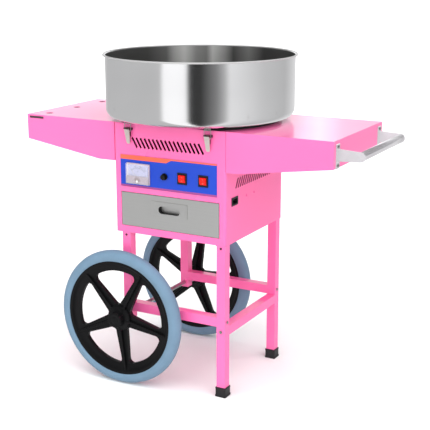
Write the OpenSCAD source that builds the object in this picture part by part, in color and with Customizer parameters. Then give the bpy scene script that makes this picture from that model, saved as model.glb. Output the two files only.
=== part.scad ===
// Electric candy floss cart: a sheet-metal cabinet on four square-tube legs, two of them on an
// axle with spoked wheels, a spinning bowl on top, two side shelves and a push handle.
// X runs along the front to the right, Y runs to the back and Z is up. The origin lies on the
// floor under the middle of the overall box.

/* [Cabinet] */
// Width of the cabinet along the front
cab_w = 334; // [320:1:360]
// Depth of the cabinet from front to back
cab_d = 338; // [334:1:380]
// Height of the cabinet's underside above the floor
cab_bottom = 419; // [400:1:480]
// Height of the cabinet from its underside to its top
cab_h = 297; // [290:1:340]
// Thickness of the folded sheet
sheet = 1.5; // [1:0.1:2.5]
// Outside radius of the cabinet's bent front and rear corners
cab_corner_r = 6; // [4:0.5:10]
// Length that the front and rear panels turn round the corner
panel_return = 12; // [11:1:20]
// Height of the divider above the cabinet's underside
divider_rise = 119; // [117:1:123]
// Depth of the divider's turned-down edges
divider_flange = 16; // [13:1:18]

/* [Vents] */
// Number of slots in one row of vents
vent_count = 17; // [8:1:18]
// Distance from slot to slot
vent_pitch = 12.4; // [10:0.1:12.6]
// Width of a slot
vent_slot_w = 5.4; // [3:0.1:5.5]
// Length of a slot
vent_slot_len = 29.5; // [18:0.5:30]
// Lean of a slot from upright
vent_lean = 29; // [0:1:32]
// Distance of the front slots' centres below the cabinet's top
vent_front_drop = 50.3; // [48:0.1:56]
// Distance of the side slots' centres below the cabinet's top
vent_side_drop = 142; // [138:1:148]
// Sideways place of the front row's centre
vent_front_shift = -4; // [-6:1:6]
// Lengthways place of the side rows' centre
vent_side_shift = -8; // [-12:1:12]

/* [Shelves] */
// Length of each side shelf
shelf_len = 287; // [240:1:320]
// Height of a shelf's outer end
shelf_end_h = 68; // [64:1:80]
// Height of a shelf where it meets the cabinet
shelf_root_h = 104; // [96:1:110]
// Level stretch under the left shelf, next to the cabinet
shelf_flat_left = 51; // [20:1:90]
// Level stretch under the right shelf, next to the cabinet
shelf_flat_right = 32; // [20:1:90]
// Radius of the round holes in the left shelf
cone_hole_r = 10; // [6:0.5:14]
// Distance of the round holes from the shelf's outer end
cone_hole_inset = 45; // [30:1:70]
// Distance from one round hole to the next
cone_hole_step = 127; // [60:1:135]
// Width of the blank plate on the left shelf's front
plate_w = 47; // [20:1:80]
// Height of the blank plate
plate_h = 6; // [4:0.5:20]

/* [Handle] */
// Distance of the handle's tube from the shelf's end
handle_reach = 59.5; // [50:1:90]
// Radius of the handle's tube
handle_tube_r = 11; // [8:0.5:12]
// Distance of each handle bracket from the shelf's front or rear edge
handle_inset = 24; // [15:1:60]
// Height of the handle's axis below the cabinet's top
handle_drop = 36; // [32:1:40]
// Height of a bracket's mounting flange
handle_flange_h = 59; // [54:1:62]
// Width of a bracket's mounting flange
handle_flange_w = 20; // [16:1:26]

/* [Control panel] */
// Width of the control panel
panel_w = 290; // [286:1:300]
// Height of the control panel
panel_h = 86; // [84:1:92]
// Distance of the panel's lower edge above the drawer opening
panel_rise = 16; // [15:1:18]
// Sideways place of the panel's centre
panel_shift = -3; // [-6:1:6]
// Height of the instruments' centre line above the panel's lower edge
instrument_rise = 38; // [37:1:42]
// Distance of the voltmeter from the panel's centre
meter_offset = -88.5; // [-96:0.5:-80]
// Distance of the fuse from the panel's centre
fuse_offset = -9; // [-20:1:0]
// Distance of the left switch from the panel's centre
switch_left_offset = 44; // [36:1:56]
// Distance of the right switch from the panel's centre
switch_right_offset = 106; // [92:1:112]

/* [Voltmeter] */
// Width of the voltmeter's face
meter_w = 70; // [60:1:76]
// Height of the voltmeter's face
meter_h = 55; // [52:1:60]
// Radius of the voltmeter's barrel behind the panel
meter_barrel_r = 23; // [18:1:24]
// Swing of the needle over the dial
needle_swing = 90; // [60:5:90]
// Length of the needle from its pivot
needle_len = 27; // [20:1:29]

/* [Switches] */
// Width of a switch bezel
bezel_w = 28; // [26:1:32]
// Height of a switch bezel
bezel_h = 30; // [29:1:34]
// Angle of a rocker from its middle place to either end
rocker_tilt = 8; // [4:1:10]

/* [Drawer] */
// Width of the cabinet's front left beside the drawer on each side
drawer_margin = 19.5; // [19:0.5:27]
// Height of the drawer's front
drawer_h = 91; // [86:1:92]
// Distance of the drawer's lower edge above the cabinet's underside
drawer_rise = 20; // [18:1:22]
// Depth of the drawer's tray
tray_len = 290; // [240:1:300]
// Width of the pull's plate
pull_w = 109; // [90:1:130]
// Height of the pull's plate
pull_h = 38; // [34:1:44]
// Width of the pull's finger recess
pull_cup_w = 65; // [50:1:80]
// Height of the pull's finger recess
pull_cup_h = 20; // [18:1:24]
// Depth of the pull's finger recess
pull_cup_depth = 13; // [11:1:16]

/* [Bowl] */
// Outside radius of the bowl's rolled rim
bowl_rim_r = 260; // [256:1:280]
// Width that the rolled rim stands out from the wall
bowl_rim_out = 7; // [6.5:0.1:8]
// Height of the bowl
bowl_h = 165; // [140:1:190]
// Thickness of the bowl's sheet
bowl_sheet = 1.2; // [0.8:0.1:1.6]
// Outside radius of the bend between floor and wall
bowl_corner_r = 22; // [14:1:28]
// Radius of the hole in the bowl's floor
bowl_hole_r = 30; // [24:1:36]
// Height of the rubber pads under the bowl
pad_h = 9; // [8.5:0.5:10]
// Radius of a rubber pad
pad_r = 14; // [8:1:20]

/* [Latches] */
// Distance of each latch from the cabinet's centre line
latch_offset = 119; // [116:1:128]
// Distance of the lever's pivot below the cabinet's top
latch_pivot_drop = 14; // [13.5:0.1:14.5]
// Distance of the lever's pivot in front of the cabinet
latch_pivot_out = 8; // [7.5:0.1:9]
// Length of the lever below its pivot
lever_len = 40; // [30:1:44]
// Width of the lever
lever_w = 15; // [13:1:16]

/* [Spinner] */
// Radius of the spinner head
head_r = 60; // [52:1:72]
// Height of the head's floor above the bowl's underside
head_rise = 27; // [24:1:40]
// Height of the slotted band
band_h = 26; // [20:1:32]
// Number of slots in the band
band_slots = 36; // [12:1:40]
// Radius of the motor's shaft
shaft_r = 6; // [5:0.5:7]
// Radius of the motor's can
motor_r = 45; // [38:1:50]
// Height of the motor's can
motor_h = 90; // [70:1:92]

/* [Legs] */
// Outside width of the square tube
tube = 25; // [22:1:30]
// Wall of the square tube
tube_wall = 1.5; // [1:0.1:2.5]
// Set-in of the right legs from the cabinet's right face
leg_inset_right = 2; // [1:1:10]
// Set-in of the left legs from the cabinet's left face
leg_inset_left = 19; // [10:1:30]
// Set-in of the front legs from the cabinet's front face
leg_inset_front = 1; // [1:1:10]
// Set-in of the rear legs from the cabinet's rear face
leg_inset_rear = 6; // [1:1:12]
// Height of the side bar's underside
side_bar_z = 171; // [120:1:185]
// Gap between the side bar's top and the cross bars' underside
bar_step = 1; // [1:1:10]
// Height of a rubber foot
foot_h = 27; // [20:1:34]
// Thickness of rubber under a leg
foot_floor = 4; // [3:0.5:8]

/* [Wheels] */
// Outside radius of the tyre
tyre_r = 188; // [184:1:200]
// Radius of the rim under the tyre
rim_r = 160; // [152:1:164]
// Width of the tyre
tyre_w = 37; // [34:1:44]
// Gap between leg and tyre
wheel_gap = 18; // [12:1:22]
// Radius of the axle
axle_r = 6; // [5:0.5:7]
// Number of spokes
spoke_count = 5; // [5:1:5]
// Turn of the front wheel's first spoke
front_spoke_angle = -83; // [-180:1:180]
// Turn of the rear wheel's first spoke
rear_spoke_angle = 79.5; // [-180:0.5:180]
// Width of a spoke at the rim
spoke_w = 23; // [16:1:26]
// Width of a spoke at the hub
spoke_root_w = 31; // [26:1:34]

/* [Hidden] */

// Smoothness of the round pieces
$fn = 96;
fine_fn = 180;
small_fn = 32;
// Steps in a rounded corner of an outline
arc_steps = 6;

// Overrun of every cut past the face that it opens
over = 1;
// Radial clearance of a shaft or pin that turns in its bore
run_fit = 0.05;
// Clearance of a fixed pin or screw in its hole
fixed_fit = 0.1;
// Gap between pieces that pass each other
pass_gap = 0.4;

// Places of the cabinet's faces
handle_end_lip = 1;
handle_end_r = handle_tube_r + handle_end_lip;
bowl_x = -(handle_reach + handle_end_r) / 2;
cab_l = bowl_x - cab_w / 2;
cab_r = bowl_x + cab_w / 2;
cab_f = -cab_d / 2;
cab_b = cab_d / 2;
cab_top = cab_bottom + cab_h;
inner_l = cab_l + sheet;
inner_r = cab_r - sheet;
inner_f = cab_f + sheet;
inner_b = cab_b - sheet;
wall_top = cab_top - sheet;
divider_z = cab_bottom + divider_rise;
shaft_room = 12;
shaft_hole_r = shaft_r + shaft_room;

// Colours
pink = [0.97, 0.42, 0.66];
steel = [0.78, 0.78, 0.79];
dark = [0.09, 0.09, 0.1];
tyre_blue = [0.47, 0.62, 0.74];
rubber_black = [0.13, 0.13, 0.14];

// Fastener sizes
bolt_head_r = 4.5;
bolt_head_h = 2.4;
bolt_r = 2.5;
bolt_len = 6;
bar_end_t = 4;
frame_bolt_len = tube + bar_end_t + 2;
screw_head_r = 3.2;
screw_head_h = 1.8;
screw_r = 1.7;
screw_len = 5;

// Frame places
leg_r_x = cab_r - leg_inset_right - tube;
leg_l_x = cab_l + leg_inset_left;
leg_f_y = cab_f + leg_inset_front;
leg_b_y = cab_b - leg_inset_rear - tube;
cross_bar_z = side_bar_z + tube + bar_step;
socket_len = 40;
socket_w = tube - 2 * tube_wall - 2 * fixed_fit;
leg_screw_drop = 7.5;
foot_wall = 2.4;
foot_flare = 1;
foot_skirt_h = 6;
axle_x = leg_l_x + tube / 2;
axle_z = tyre_r;
short_leg_z = axle_z - tube / 2 - tube_wall;

// Wheel places, given for the front wheel; the rear wheel is its mirror image
wheel_y = leg_f_y - wheel_gap - tyre_w / 2;
rim_w = tyre_w - 7;
hub_out = 12;
web_t = 12;
rib_w = 6;
rib_set_in = 2;
rim_inner_r = 132;
rim_land = 8;
rim_shoulder_r = 138;
shoulder_share = 1.4;
hub_r = 21;
hub_boss_r = 35;
hub_boss_t = 24;
hub_inner_y = leg_f_y - wheel_gap;
hub_outer_y = wheel_y - tyre_w / 2 - hub_out;
hub_pocket_r = 16;
hub_pocket_depth = 14;
cap_t = 3;
cap_skirt = 4;
cap_skirt_w = 2;
axle_end_y = hub_outer_y + cap_skirt;
nut_r = 10;
nut_len = hub_pocket_depth - cap_skirt - pass_gap;
spacer_r = 11;
window_corner_r = 14;
window_root_r = 9;
window_arc_steps = 2;

// Bowl places
bowl_z = cab_top + pad_h;
bowl_wall_r = bowl_rim_r - bowl_rim_out;
rim_bead_r = 2.2;
rim_flange_z = bowl_h - rim_bead_r - bowl_sheet / 2;
bowl_collar_h = 12;
pad_at = 115;

// Latch places
pin_y = cab_f - latch_pivot_out;
pin_z = cab_top - latch_pivot_drop;
pin_r = 1.5;
ear_t = 1.5;
ear_in = 5.9;
ear_nose = 2.5;
ear_chin = 3.5;
latch_bar_w = 22;
latch_bar_rise = 3;
latch_bar_h = 6;
latch_tail_w = 9;
latch_tail_len = 24;
latch_plate_t = 1.5;
rivet_r = 1.6;
rivet_h = 0.8;
bail_wire_r = 1;
bail_x = 9.5;
bail_drop = 6;
bail_z = pin_z - bail_drop;
bail_over = 3.1;
bail_top_z = cab_top + bail_over;
lip_t = 1.5;
lip_gap = 0.3;
lip_reach = 5.5;
lever_out = 4;
lever_t = 2;
lever_cheek = 5.5;
lever_head_back = 2.5;
lever_head_top = 3;
lever_tip_w = 11;
lever_lean = 12;
lever_curl = 4;
catch_t = 1.5;
catch_w = 16;

// Spinner places
head_z = bowl_z + head_rise;
head_floor_t = 3;
head_hub_r = 15;
head_hub_h = 14;
band_t = 1.5;
band_slot_w = 1.6;
band_edge = 3;
element_r = 54;
element_t = 2;
element_h = 18;
lid_t = 3;
lid_hole_r = 20;
band_r = head_r - band_t;
motor_plate_w = 104;
motor_plate_t = 3;
standoff_h = 22;
standoff_r = 6;
standoff_at = 38;
motor_top_z = wall_top - standoff_h;
motor_z = motor_top_z - motor_plate_t - motor_h;
ring_sleeve_r = 13;
ring_r = 16;
ring_h = 8;
ring_gap = 8;
ring_stack_h = ring_h * 2 + ring_gap * 3;
ring_drop = 6;
ring_z = motor_z - ring_drop - ring_stack_h;
shaft_end_z = ring_z - pass_gap * 5;
brush_r = 3;
brush_post_in = 26;
brush_post_t = 12;
brush_post_w = 16;

// Control panel places
panel_t = 1.5;
panel_y = cab_f - panel_t;
drawer_z = cab_bottom + drawer_rise;
panel_z = drawer_z + drawer_h + panel_rise;
panel_x = bowl_x + panel_shift;
instrument_z = panel_z + instrument_rise;
meter_x = panel_x + meter_offset;
fuse_x = panel_x + fuse_offset;
switch_l_x = panel_x + switch_left_offset;
switch_r_x = panel_x + switch_right_offset;
meter_base_t = 3;
meter_cover_t = 1.5;
meter_depth = 11;
meter_wall = 1.5;
meter_barrel_len = 36;
meter_mask_share = 0.4;
needle_share = 0.3;
meter_mask_t = 1.2;
dial_t = 1;
dial_margin = 4;
needle_w = 1.2;
needle_t = 0.6;
needle_hub_r = 3;
needle_pin_r = 1;
needle_hub_t = 2;
needle_tail = 5;
fuse_bush_r = 7.5;
fuse_bush_len = 30;
fuse_flange_r = 9;
fuse_flange_t = 2;
fuse_bore_r = 4.2;
fuse_glass_r = 2.6;
fuse_glass_len = 20;
fuse_cap_r = 8;
fuse_cap_len = 9;
fuse_stem_len = 14;
fuse_slot_w = 1.5;
fuse_slot_depth = 1.5;
fuse_cup_depth = 5;
bezel_t = 2;
bezel_wall = 4;
bezel_body_wall = 1.6;
bezel_body_len = 22;
rocker_gap = 0.5;
rocker_depth = 11;
rocker_pin_r = 1.5;
rocker_pin_len = 1;
rocker_pivot_in = 3;
rocker_proud = 3;

// Mains inlet places
inlet_w = 34;
inlet_h = 22;
inlet_t = 2;
inlet_wall = 3;
inlet_body_wall = 1.6;
inlet_body_len = 22;
inlet_recess = 15;
inlet_back = 48;
inlet_rise = 110;
inlet_y = cab_f + inlet_back;
inlet_z = cab_bottom + inlet_rise;
inlet_pin_w = 4;
inlet_pin_t = 2;
inlet_pin_len = 11;
inlet_pin_step = 7;
inlet_earth_rise = 4;

// Drawer places
drawer_w = cab_w - 2 * drawer_margin;
drawer_gap = 1;
tray_side = 9.5;
tray_w = drawer_w - 2 * tray_side;
tray_wall = 1.2;
tray_h = 70;
tray_rise = 8;
tray_z = drawer_z + tray_rise;
pull_rise = 57;
pull_cup_drop = 3;
pull_z = drawer_z + pull_rise;
pull_t = 1.2;
pull_cup_wall = 1;
runner_t = 1.5;
runner_h = 30;
runner_lap = 12;
runner_guide_h = 9;
runner_z = tray_z - pass_gap;
side_screw_back = -8;
side_screw_front = -53;
side_screw_drop = 8;

// Handle places
handle_span = cab_d - 2 * handle_inset;
handle_x = cab_r + shelf_len + handle_reach;
handle_z = cab_top - handle_drop;
shelf_end_x = cab_r + shelf_len;
handle_arm_t = 3;
handle_flange_t = 2.5;
handle_arm_root_h = 30;
handle_wall = 1.5;
handle_flange_shift = -2.5;
handle_bolt_at = 23;

function arc(x, y, r, from, to) =
    [for (i = [0:arc_steps]) [x + r * cos(from + (to - from) * i / arc_steps),
                              y + r * sin(from + (to - from) * i / arc_steps)]];

// A block from its lowest to its highest corner
module block(low, high) {
    translate(low) cube(high - low);
}

// A round bar along Y
module bar_y(r, x, z, from, to, sides = small_fn) {
    translate([x, from, z]) rotate([-90, 0, 0]) cylinder(r = r, h = to - from, $fn = sides);
}

// A round bar along X
module bar_x(r, y, z, from, to, sides = small_fn) {
    translate([from, y, z]) rotate([0, 90, 0]) cylinder(r = r, h = to - from, $fn = sides);
}

// A round bar along Z
module bar_z(r, x, y, from, to, sides = small_fn) {
    translate([x, y, from]) cylinder(r = r, h = to - from, $fn = sides);
}

// A bar along Y with a flat top and bottom and two round ends
module slot_y(half_w, half_h, x, z, from, to) {
    block([x - half_w + half_h, from, z - half_h], [x + half_w - half_h, to, z + half_h]);
    for (side = [-1, 1]) bar_y(half_h, x + side * (half_w - half_h), z, from, to);
}

// A plate that lies in the XZ plane, cut from an outline
module plate_xz(y, t) {
    translate([0, y + t, 0]) rotate([90, 0, 0]) linear_extrude(t) children();
}

// A plate that lies in the YZ plane, cut from an outline
module plate_yz(x, t) {
    translate([x, 0, 0]) rotate([90, 0, 90]) linear_extrude(t) children();
}

// Fasteners, pointing inwards from the face that they sit on
function bolts() = [
    [leg_r_x + tube, leg_f_y + tube / 2, cross_bar_z + tube / 2, 180],
    [leg_r_x + tube, leg_b_y + tube / 2, cross_bar_z + tube / 2, 180],
    [leg_l_x, leg_f_y + tube / 2, cross_bar_z + tube / 2, 0],
    [leg_l_x, leg_b_y + tube / 2, cross_bar_z + tube / 2, 0],
    [leg_r_x + tube / 2, leg_f_y, side_bar_z + tube / 2, 90],
    [leg_r_x + tube / 2, leg_b_y + tube, side_bar_z + tube / 2, -90]
];
function handle_bolts() = [for (side = [-1, 1], up = [-1, 1])
    [shelf_end_x + handle_flange_t, side * handle_span / 2,
     handle_z + handle_flange_shift + up * handle_bolt_at, 180]];
function leg_screws() = [for (front = [0, 1], right = [0, 1])
    [(right == 1 ? leg_r_x : leg_l_x) + tube / 2,
     (front == 1 ? leg_f_y : leg_b_y) + (1 - front) * tube,
     cab_bottom - leg_screw_drop, front == 1 ? 90 : -90]];
function side_screws() = [for (right = [0, 1], y = [side_screw_front, side_screw_back])
    [right == 1 ? cab_r : cab_l, y, divider_z - side_screw_drop, right == 1 ? 180 : 0]];

module fastener(place, head_r, head_h, shank_r, shank_len) {
    translate([place[0], place[1], place[2]]) rotate([0, 90, place[3]]) {
        translate([0, 0, -head_h]) cylinder(r = head_r, h = head_h, $fn = small_fn);
        cylinder(r = shank_r, h = shank_len, $fn = small_fn);
    }
}

module fastener_hole(place, shank_r, shank_len) {
    translate([place[0], place[1], place[2]]) rotate([0, 90, place[3]])
        translate([0, 0, -over])
            cylinder(r = shank_r + fixed_fit, h = shank_len + 2 * over, $fn = small_fn);
}

// One row of leaning slots, in its own XZ plane about its centre
module vent_row(depth) {
    for (i = [0:vent_count - 1])
        translate([(i - (vent_count - 1) / 2) * vent_pitch, 0, 0]) rotate([0, -vent_lean, 0])
            cube([vent_slot_w, depth, vent_slot_len], center = true);
}

// Outline of the cabinet between two depths, with its outer corners rounded
module corner_outline(inset) {
    r = cab_corner_r - inset;
    polygon(concat(
        arc(cab_l + cab_corner_r, cab_f + cab_corner_r, r, 180, 270),
        arc(cab_r - cab_corner_r, cab_f + cab_corner_r, r, 270, 360),
        arc(cab_r - cab_corner_r, cab_b - cab_corner_r, r, 0, 90),
        arc(cab_l + cab_corner_r, cab_b - cab_corner_r, r, 90, 180)
    ));
}

// The front or rear panel before its openings: flat, with both sides turned round the corner
module wrapped_panel(front) {
    translate([0, 0, cab_bottom]) linear_extrude(wall_top - cab_bottom) intersection() {
        difference() {
            corner_outline(0);
            corner_outline(sheet);
        }
        translate([cab_l - over, front ? cab_f - over : cab_b - panel_return])
            square([cab_w + 2 * over, panel_return + over]);
    }
}

module switch_cutout(x, y, depth) {
    block([x - bezel_w / 2 + bezel_wall - bezel_body_wall - fixed_fit, y,
           instrument_z - bezel_h / 2 + bezel_wall - bezel_body_wall - fixed_fit],
          [x + bezel_w / 2 - bezel_wall + bezel_body_wall + fixed_fit, y + depth,
           instrument_z + bezel_h / 2 - bezel_wall + bezel_body_wall + fixed_fit]);
}

// Every hole that the instruments pass through
module instrument_holes(y, depth) {
    bar_y(meter_barrel_r + fixed_fit, meter_x, instrument_z, y, y + depth, $fn);
    bar_y(fuse_bush_r + fixed_fit, fuse_x, instrument_z, y, y + depth);
    switch_cutout(switch_l_x, y, depth);
    switch_cutout(switch_r_x, y, depth);
}

module cabinet_front() {
    color(pink) difference() {
        wrapped_panel(true);
        translate([bowl_x + vent_front_shift, cab_f, cab_top - vent_front_drop])
            vent_row(4 * sheet);
        instrument_holes(cab_f - over, sheet + 2 * over);
        block([bowl_x - drawer_w / 2 - drawer_gap, cab_f - over, drawer_z - drawer_gap],
              [bowl_x + drawer_w / 2 + drawer_gap, inner_f + over,
               drawer_z + drawer_h + drawer_gap]);
    }
}

module side_panel(x) {
    difference() {
        block([x, cab_f + panel_return, cab_bottom],
              [x + sheet, cab_b - panel_return, wall_top]);
        translate([x, vent_side_shift, cab_top - vent_side_drop]) rotate([0, 0, -90])
            vent_row(4 * sheet);
        for (place = side_screws()) fastener_hole(place, screw_r, screw_len);
    }
}

module cabinet_left_side() {
    color(pink) side_panel(cab_l);
}

module cabinet_right_side() {
    color(pink) difference() {
        side_panel(inner_r);
        block([inner_r - over, inlet_y - inlet_w / 2 + inlet_wall - fixed_fit,
               inlet_z - inlet_h / 2 + inlet_wall - fixed_fit],
              [cab_r + over, inlet_y + inlet_w / 2 - inlet_wall + fixed_fit,
               inlet_z + inlet_h / 2 - inlet_wall + fixed_fit]);
    }
}

module cabinet_rear() {
    color(pink) wrapped_panel(false);
}

module cabinet_top() {
    color(pink) difference() {
        translate([0, 0, wall_top]) linear_extrude(sheet) corner_outline(0);
        bar_z(shaft_hole_r, bowl_x, 0, wall_top - over, cab_top + over, $fn);
    }
}

module leg_socket(x, y) {
    gap = (tube - socket_w) / 2;
    block([x + gap, y + gap, cab_bottom - socket_len],
          [x + gap + socket_w, y + gap + socket_w, cab_bottom + sheet / 2]);
}

module cabinet_floor() {
    color(pink) difference() {
        union() {
            block([inner_l, inner_f + panel_return, cab_bottom],
                  [inner_r, inner_b - panel_return, cab_bottom + sheet]);
            block([cab_l + cab_corner_r, inner_f, cab_bottom],
                  [cab_r - cab_corner_r, inner_b, cab_bottom + sheet]);
            leg_socket(leg_l_x, leg_f_y);
            leg_socket(leg_l_x, leg_b_y);
            leg_socket(leg_r_x, leg_f_y);
            leg_socket(leg_r_x, leg_b_y);
        }
        for (place = leg_screws()) fastener_hole(place, screw_r, screw_len);
    }
}

module divider_plate() {
    color(steel) difference() {
        block([inner_l, inner_f + panel_return, divider_z - divider_flange],
              [inner_r, inner_b - panel_return, divider_z + sheet]);
        block([inner_l + sheet, inner_f, divider_z - divider_flange - over],
              [inner_r - sheet, inner_b, divider_z]);
        block([inner_r - 2 * sheet, inlet_y - inlet_w / 2, divider_z - divider_flange - over],
              [inner_r + over, inlet_y + inlet_w / 2, divider_z]);
        for (place = side_screws()) fastener_hole(place, screw_r, screw_len);
    }
}

// Side view of a shelf, measured outwards from the cabinet and down from its top
module shelf_outline(flat, inset, below) {
    polygon([
        [inset, -inset],
        [shelf_len - inset, -inset],
        [shelf_len - inset, -shelf_end_h - below],
        [flat, -shelf_root_h - below],
        [inset, -shelf_root_h - below]
    ]);
}

module shelf(flat) {
    difference() {
        translate([0, 0, cab_top]) plate_xz(cab_f, cab_d) shelf_outline(flat, 0, 0);
        translate([0, 0, cab_top]) plate_xz(inner_f, cab_d - 2 * sheet)
            shelf_outline(flat, sheet, shelf_root_h);
    }
}

module left_shelf() {
    color(pink) difference() {
        translate([cab_l, 0, 0]) mirror([1, 0, 0]) shelf(shelf_flat_left);
        for (i = [-1:1])
            bar_z(cone_hole_r, cab_l - shelf_len + cone_hole_inset, i * cone_hole_step,
                  wall_top - over, cab_top + over, $fn);
    }
}

module right_shelf() {
    color(pink) difference() {
        translate([cab_r, 0, 0]) shelf(shelf_flat_right);
        for (place = handle_bolts()) fastener_hole(place, bolt_r, bolt_len);
    }
}

module blank_plate() {
    plate_t = 0.6;
    plate_in = 8;
    plate_drop = 4;
    color(dark) block([cab_l - shelf_len + plate_in, cab_f - plate_t,
                       cab_top - plate_drop - plate_h],
                      [cab_l - shelf_len + plate_in + plate_w, cab_f, cab_top - plate_drop]);
}

// Side view of a handle arm, from the shelf's end to its rounded end about the tube
module handle_arm_outline() {
    root_x = shelf_end_x + handle_flange_t;
    polygon(concat(
        [[root_x, handle_z + handle_arm_root_h / 2], [root_x, handle_z - handle_arm_root_h / 2]],
        arc(handle_x, handle_z, handle_end_r, -90, 90)
    ));
}

module handle_bracket(side) {
    y = side * handle_span / 2;
    half = handle_flange_h / 2;
    z = handle_z + handle_flange_shift;
    plate_xz(y - handle_arm_t / 2, handle_arm_t) handle_arm_outline();
    block([shelf_end_x, y - handle_flange_w / 2, z - half],
          [shelf_end_x + handle_flange_t, y + handle_flange_w / 2, z + half]);
}

module handle_brackets() {
    color(steel) difference() {
        union() {
            handle_bracket(-1);
            handle_bracket(1);
        }
        for (place = handle_bolts()) fastener_hole(place, bolt_r, bolt_len);
    }
}

module handle_tube() {
    half = (handle_span - handle_arm_t) / 2;
    color(steel) difference() {
        bar_y(handle_tube_r, handle_x, handle_z, -half, half, $fn);
        bar_y(handle_tube_r - handle_wall, handle_x, handle_z, -half - over, half + over, $fn);
    }
}

module control_panel() {
    color([0.16, 0.33, 0.88]) difference() {
        block([panel_x - panel_w / 2, panel_y, panel_z],
              [panel_x + panel_w / 2, cab_f, panel_z + panel_h]);
        instrument_holes(panel_y - over, panel_t + 2 * over);
    }
}

// Needle pivot, just above the lower band of the meter
needle_z = instrument_z - meter_h / 2 + meter_h * needle_share;

module meter_case() {
    half_w = meter_w / 2;
    low = instrument_z - meter_h / 2;
    face_y = panel_y - meter_base_t;
    front_y = panel_y - meter_depth + meter_cover_t;
    mask_top = low + meter_h * meter_mask_share;
    in_w = half_w - meter_wall;
    color([0.86, 0.82, 0.82]) union() {
        block([meter_x - half_w, face_y, low],
              [meter_x + half_w, panel_y, low + meter_h]);
        bar_y(meter_barrel_r, meter_x, instrument_z, face_y, panel_y + meter_barrel_len, $fn);
        block([meter_x - in_w, front_y, low + meter_wall],
              [meter_x + in_w, front_y + meter_mask_t, mask_top]);
        block([meter_x - in_w, front_y, low + meter_wall],
              [meter_x + in_w, face_y, low + 2 * meter_wall]);
        bar_y(needle_pin_r, meter_x, needle_z, front_y + meter_mask_t, face_y);
    }
}

module meter_dial() {
    low = instrument_z - meter_h / 2;
    face_y = panel_y - meter_base_t;
    dial_low = needle_z + needle_hub_r + pass_gap * 4;
    color("white") block([meter_x - meter_w / 2 + dial_margin, face_y - dial_t, dial_low],
                         [meter_x + meter_w / 2 - dial_margin, face_y,
                          low + meter_h - dial_margin]);
}

module meter_needle() {
    y = panel_y - meter_base_t - dial_t - pass_gap * 2;
    color(dark) difference() {
        translate([meter_x, 0, needle_z]) rotate([0, -needle_swing / 2, 0]) union() {
            block([-needle_w / 2, y - needle_t, -needle_tail],
                  [needle_w / 2, y, needle_len]);
            bar_y(needle_hub_r, 0, 0, y - needle_hub_t / 2, y + needle_hub_t / 2);
        }
        bar_y(needle_pin_r + run_fit, meter_x, needle_z, y - needle_hub_t, y + needle_hub_t);
    }
}

module meter_cover() {
    half_w = meter_w / 2;
    low = instrument_z - meter_h / 2;
    front_y = panel_y - meter_depth;
    back_y = panel_y - meter_base_t;
    color([0.9, 0.93, 0.95]) difference() {
        block([meter_x - half_w, front_y, low], [meter_x + half_w, back_y, low + meter_h]);
        block([meter_x - half_w + meter_wall, front_y + meter_cover_t, low + meter_wall],
              [meter_x + half_w - meter_wall, back_y + over, low + meter_h - meter_wall]);
    }
}

module fuse_holder() {
    front_y = panel_y - fuse_flange_t;
    color(dark) difference() {
        union() {
            bar_y(fuse_flange_r, fuse_x, instrument_z, front_y, panel_y);
            bar_y(fuse_bush_r, fuse_x, instrument_z, front_y, panel_y + fuse_bush_len);
        }
        bar_y(fuse_bore_r, fuse_x, instrument_z, front_y - over,
              panel_y + fuse_bush_len - fuse_flange_t);
    }
}

// Where the fuse starts, inside the cap's stem
fuse_link_y = panel_y - fuse_flange_t + fuse_stem_len - fuse_cup_depth;

module fuse_link() {
    color([0.85, 0.88, 0.85])
        bar_y(fuse_glass_r, fuse_x, instrument_z, fuse_link_y, fuse_link_y + fuse_glass_len);
}

module fuse_cap() {
    seat_y = panel_y - fuse_flange_t - pass_gap;
    front_y = seat_y - fuse_cap_len;
    color(rubber_black) difference() {
        union() {
            bar_y(fuse_cap_r, fuse_x, instrument_z, front_y, seat_y);
            bar_y(fuse_bore_r - run_fit, fuse_x, instrument_z, front_y, seat_y + fuse_stem_len);
        }
        bar_y(fuse_glass_r + run_fit, fuse_x, instrument_z, fuse_link_y - pass_gap,
              seat_y + fuse_stem_len + over);
        block([fuse_x - fuse_cap_r, front_y - over, instrument_z - fuse_slot_w / 2],
              [fuse_x + fuse_cap_r, front_y + fuse_slot_depth, instrument_z + fuse_slot_w / 2]);
    }
}

// Rocker pivot, a little behind the bezel's front
rocker_y = panel_y - bezel_t + rocker_pivot_in;
rocker_in_w = bezel_w - 2 * bezel_wall;
rocker_in_h = bezel_h - 2 * bezel_wall;

module switch_bezel(x) {
    wall = bezel_wall - bezel_body_wall;
    difference() {
        union() {
            block([x - bezel_w / 2, panel_y - bezel_t, instrument_z - bezel_h / 2],
                  [x + bezel_w / 2, panel_y, instrument_z + bezel_h / 2]);
            block([x - bezel_w / 2 + wall, panel_y - bezel_t, instrument_z - bezel_h / 2 + wall],
                  [x + bezel_w / 2 - wall, panel_y + bezel_body_len,
                   instrument_z + bezel_h / 2 - wall]);
        }
        block([x - rocker_in_w / 2, panel_y - bezel_t - over, instrument_z - rocker_in_h / 2],
              [x + rocker_in_w / 2, panel_y + bezel_body_len - bezel_body_wall,
               instrument_z + rocker_in_h / 2]);
        bar_x(rocker_pin_r + run_fit, rocker_y, instrument_z,
              x - rocker_in_w / 2 - rocker_pin_len - fixed_fit,
              x + rocker_in_w / 2 + rocker_pin_len + fixed_fit);
    }
}

module switch_bezels() {
    color(dark) {
        switch_bezel(switch_l_x);
        switch_bezel(switch_r_x);
    }
}

// Side view of a rocker about its pivot, with two faces that meet at a shallow ridge
module rocker_outline() {
    r = rocker_in_h / 2 - rocker_gap;
    face = rocker_pivot_in + rocker_proud;
    rise = r * tan(rocker_tilt);
    intersection() {
        circle(r = r, $fn = $fn);
        polygon([[-face, 0], [-face + rise, r], [rocker_depth, r / 2],
                 [rocker_depth, -r / 2], [-face + rise, -r]]);
    }
}

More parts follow.
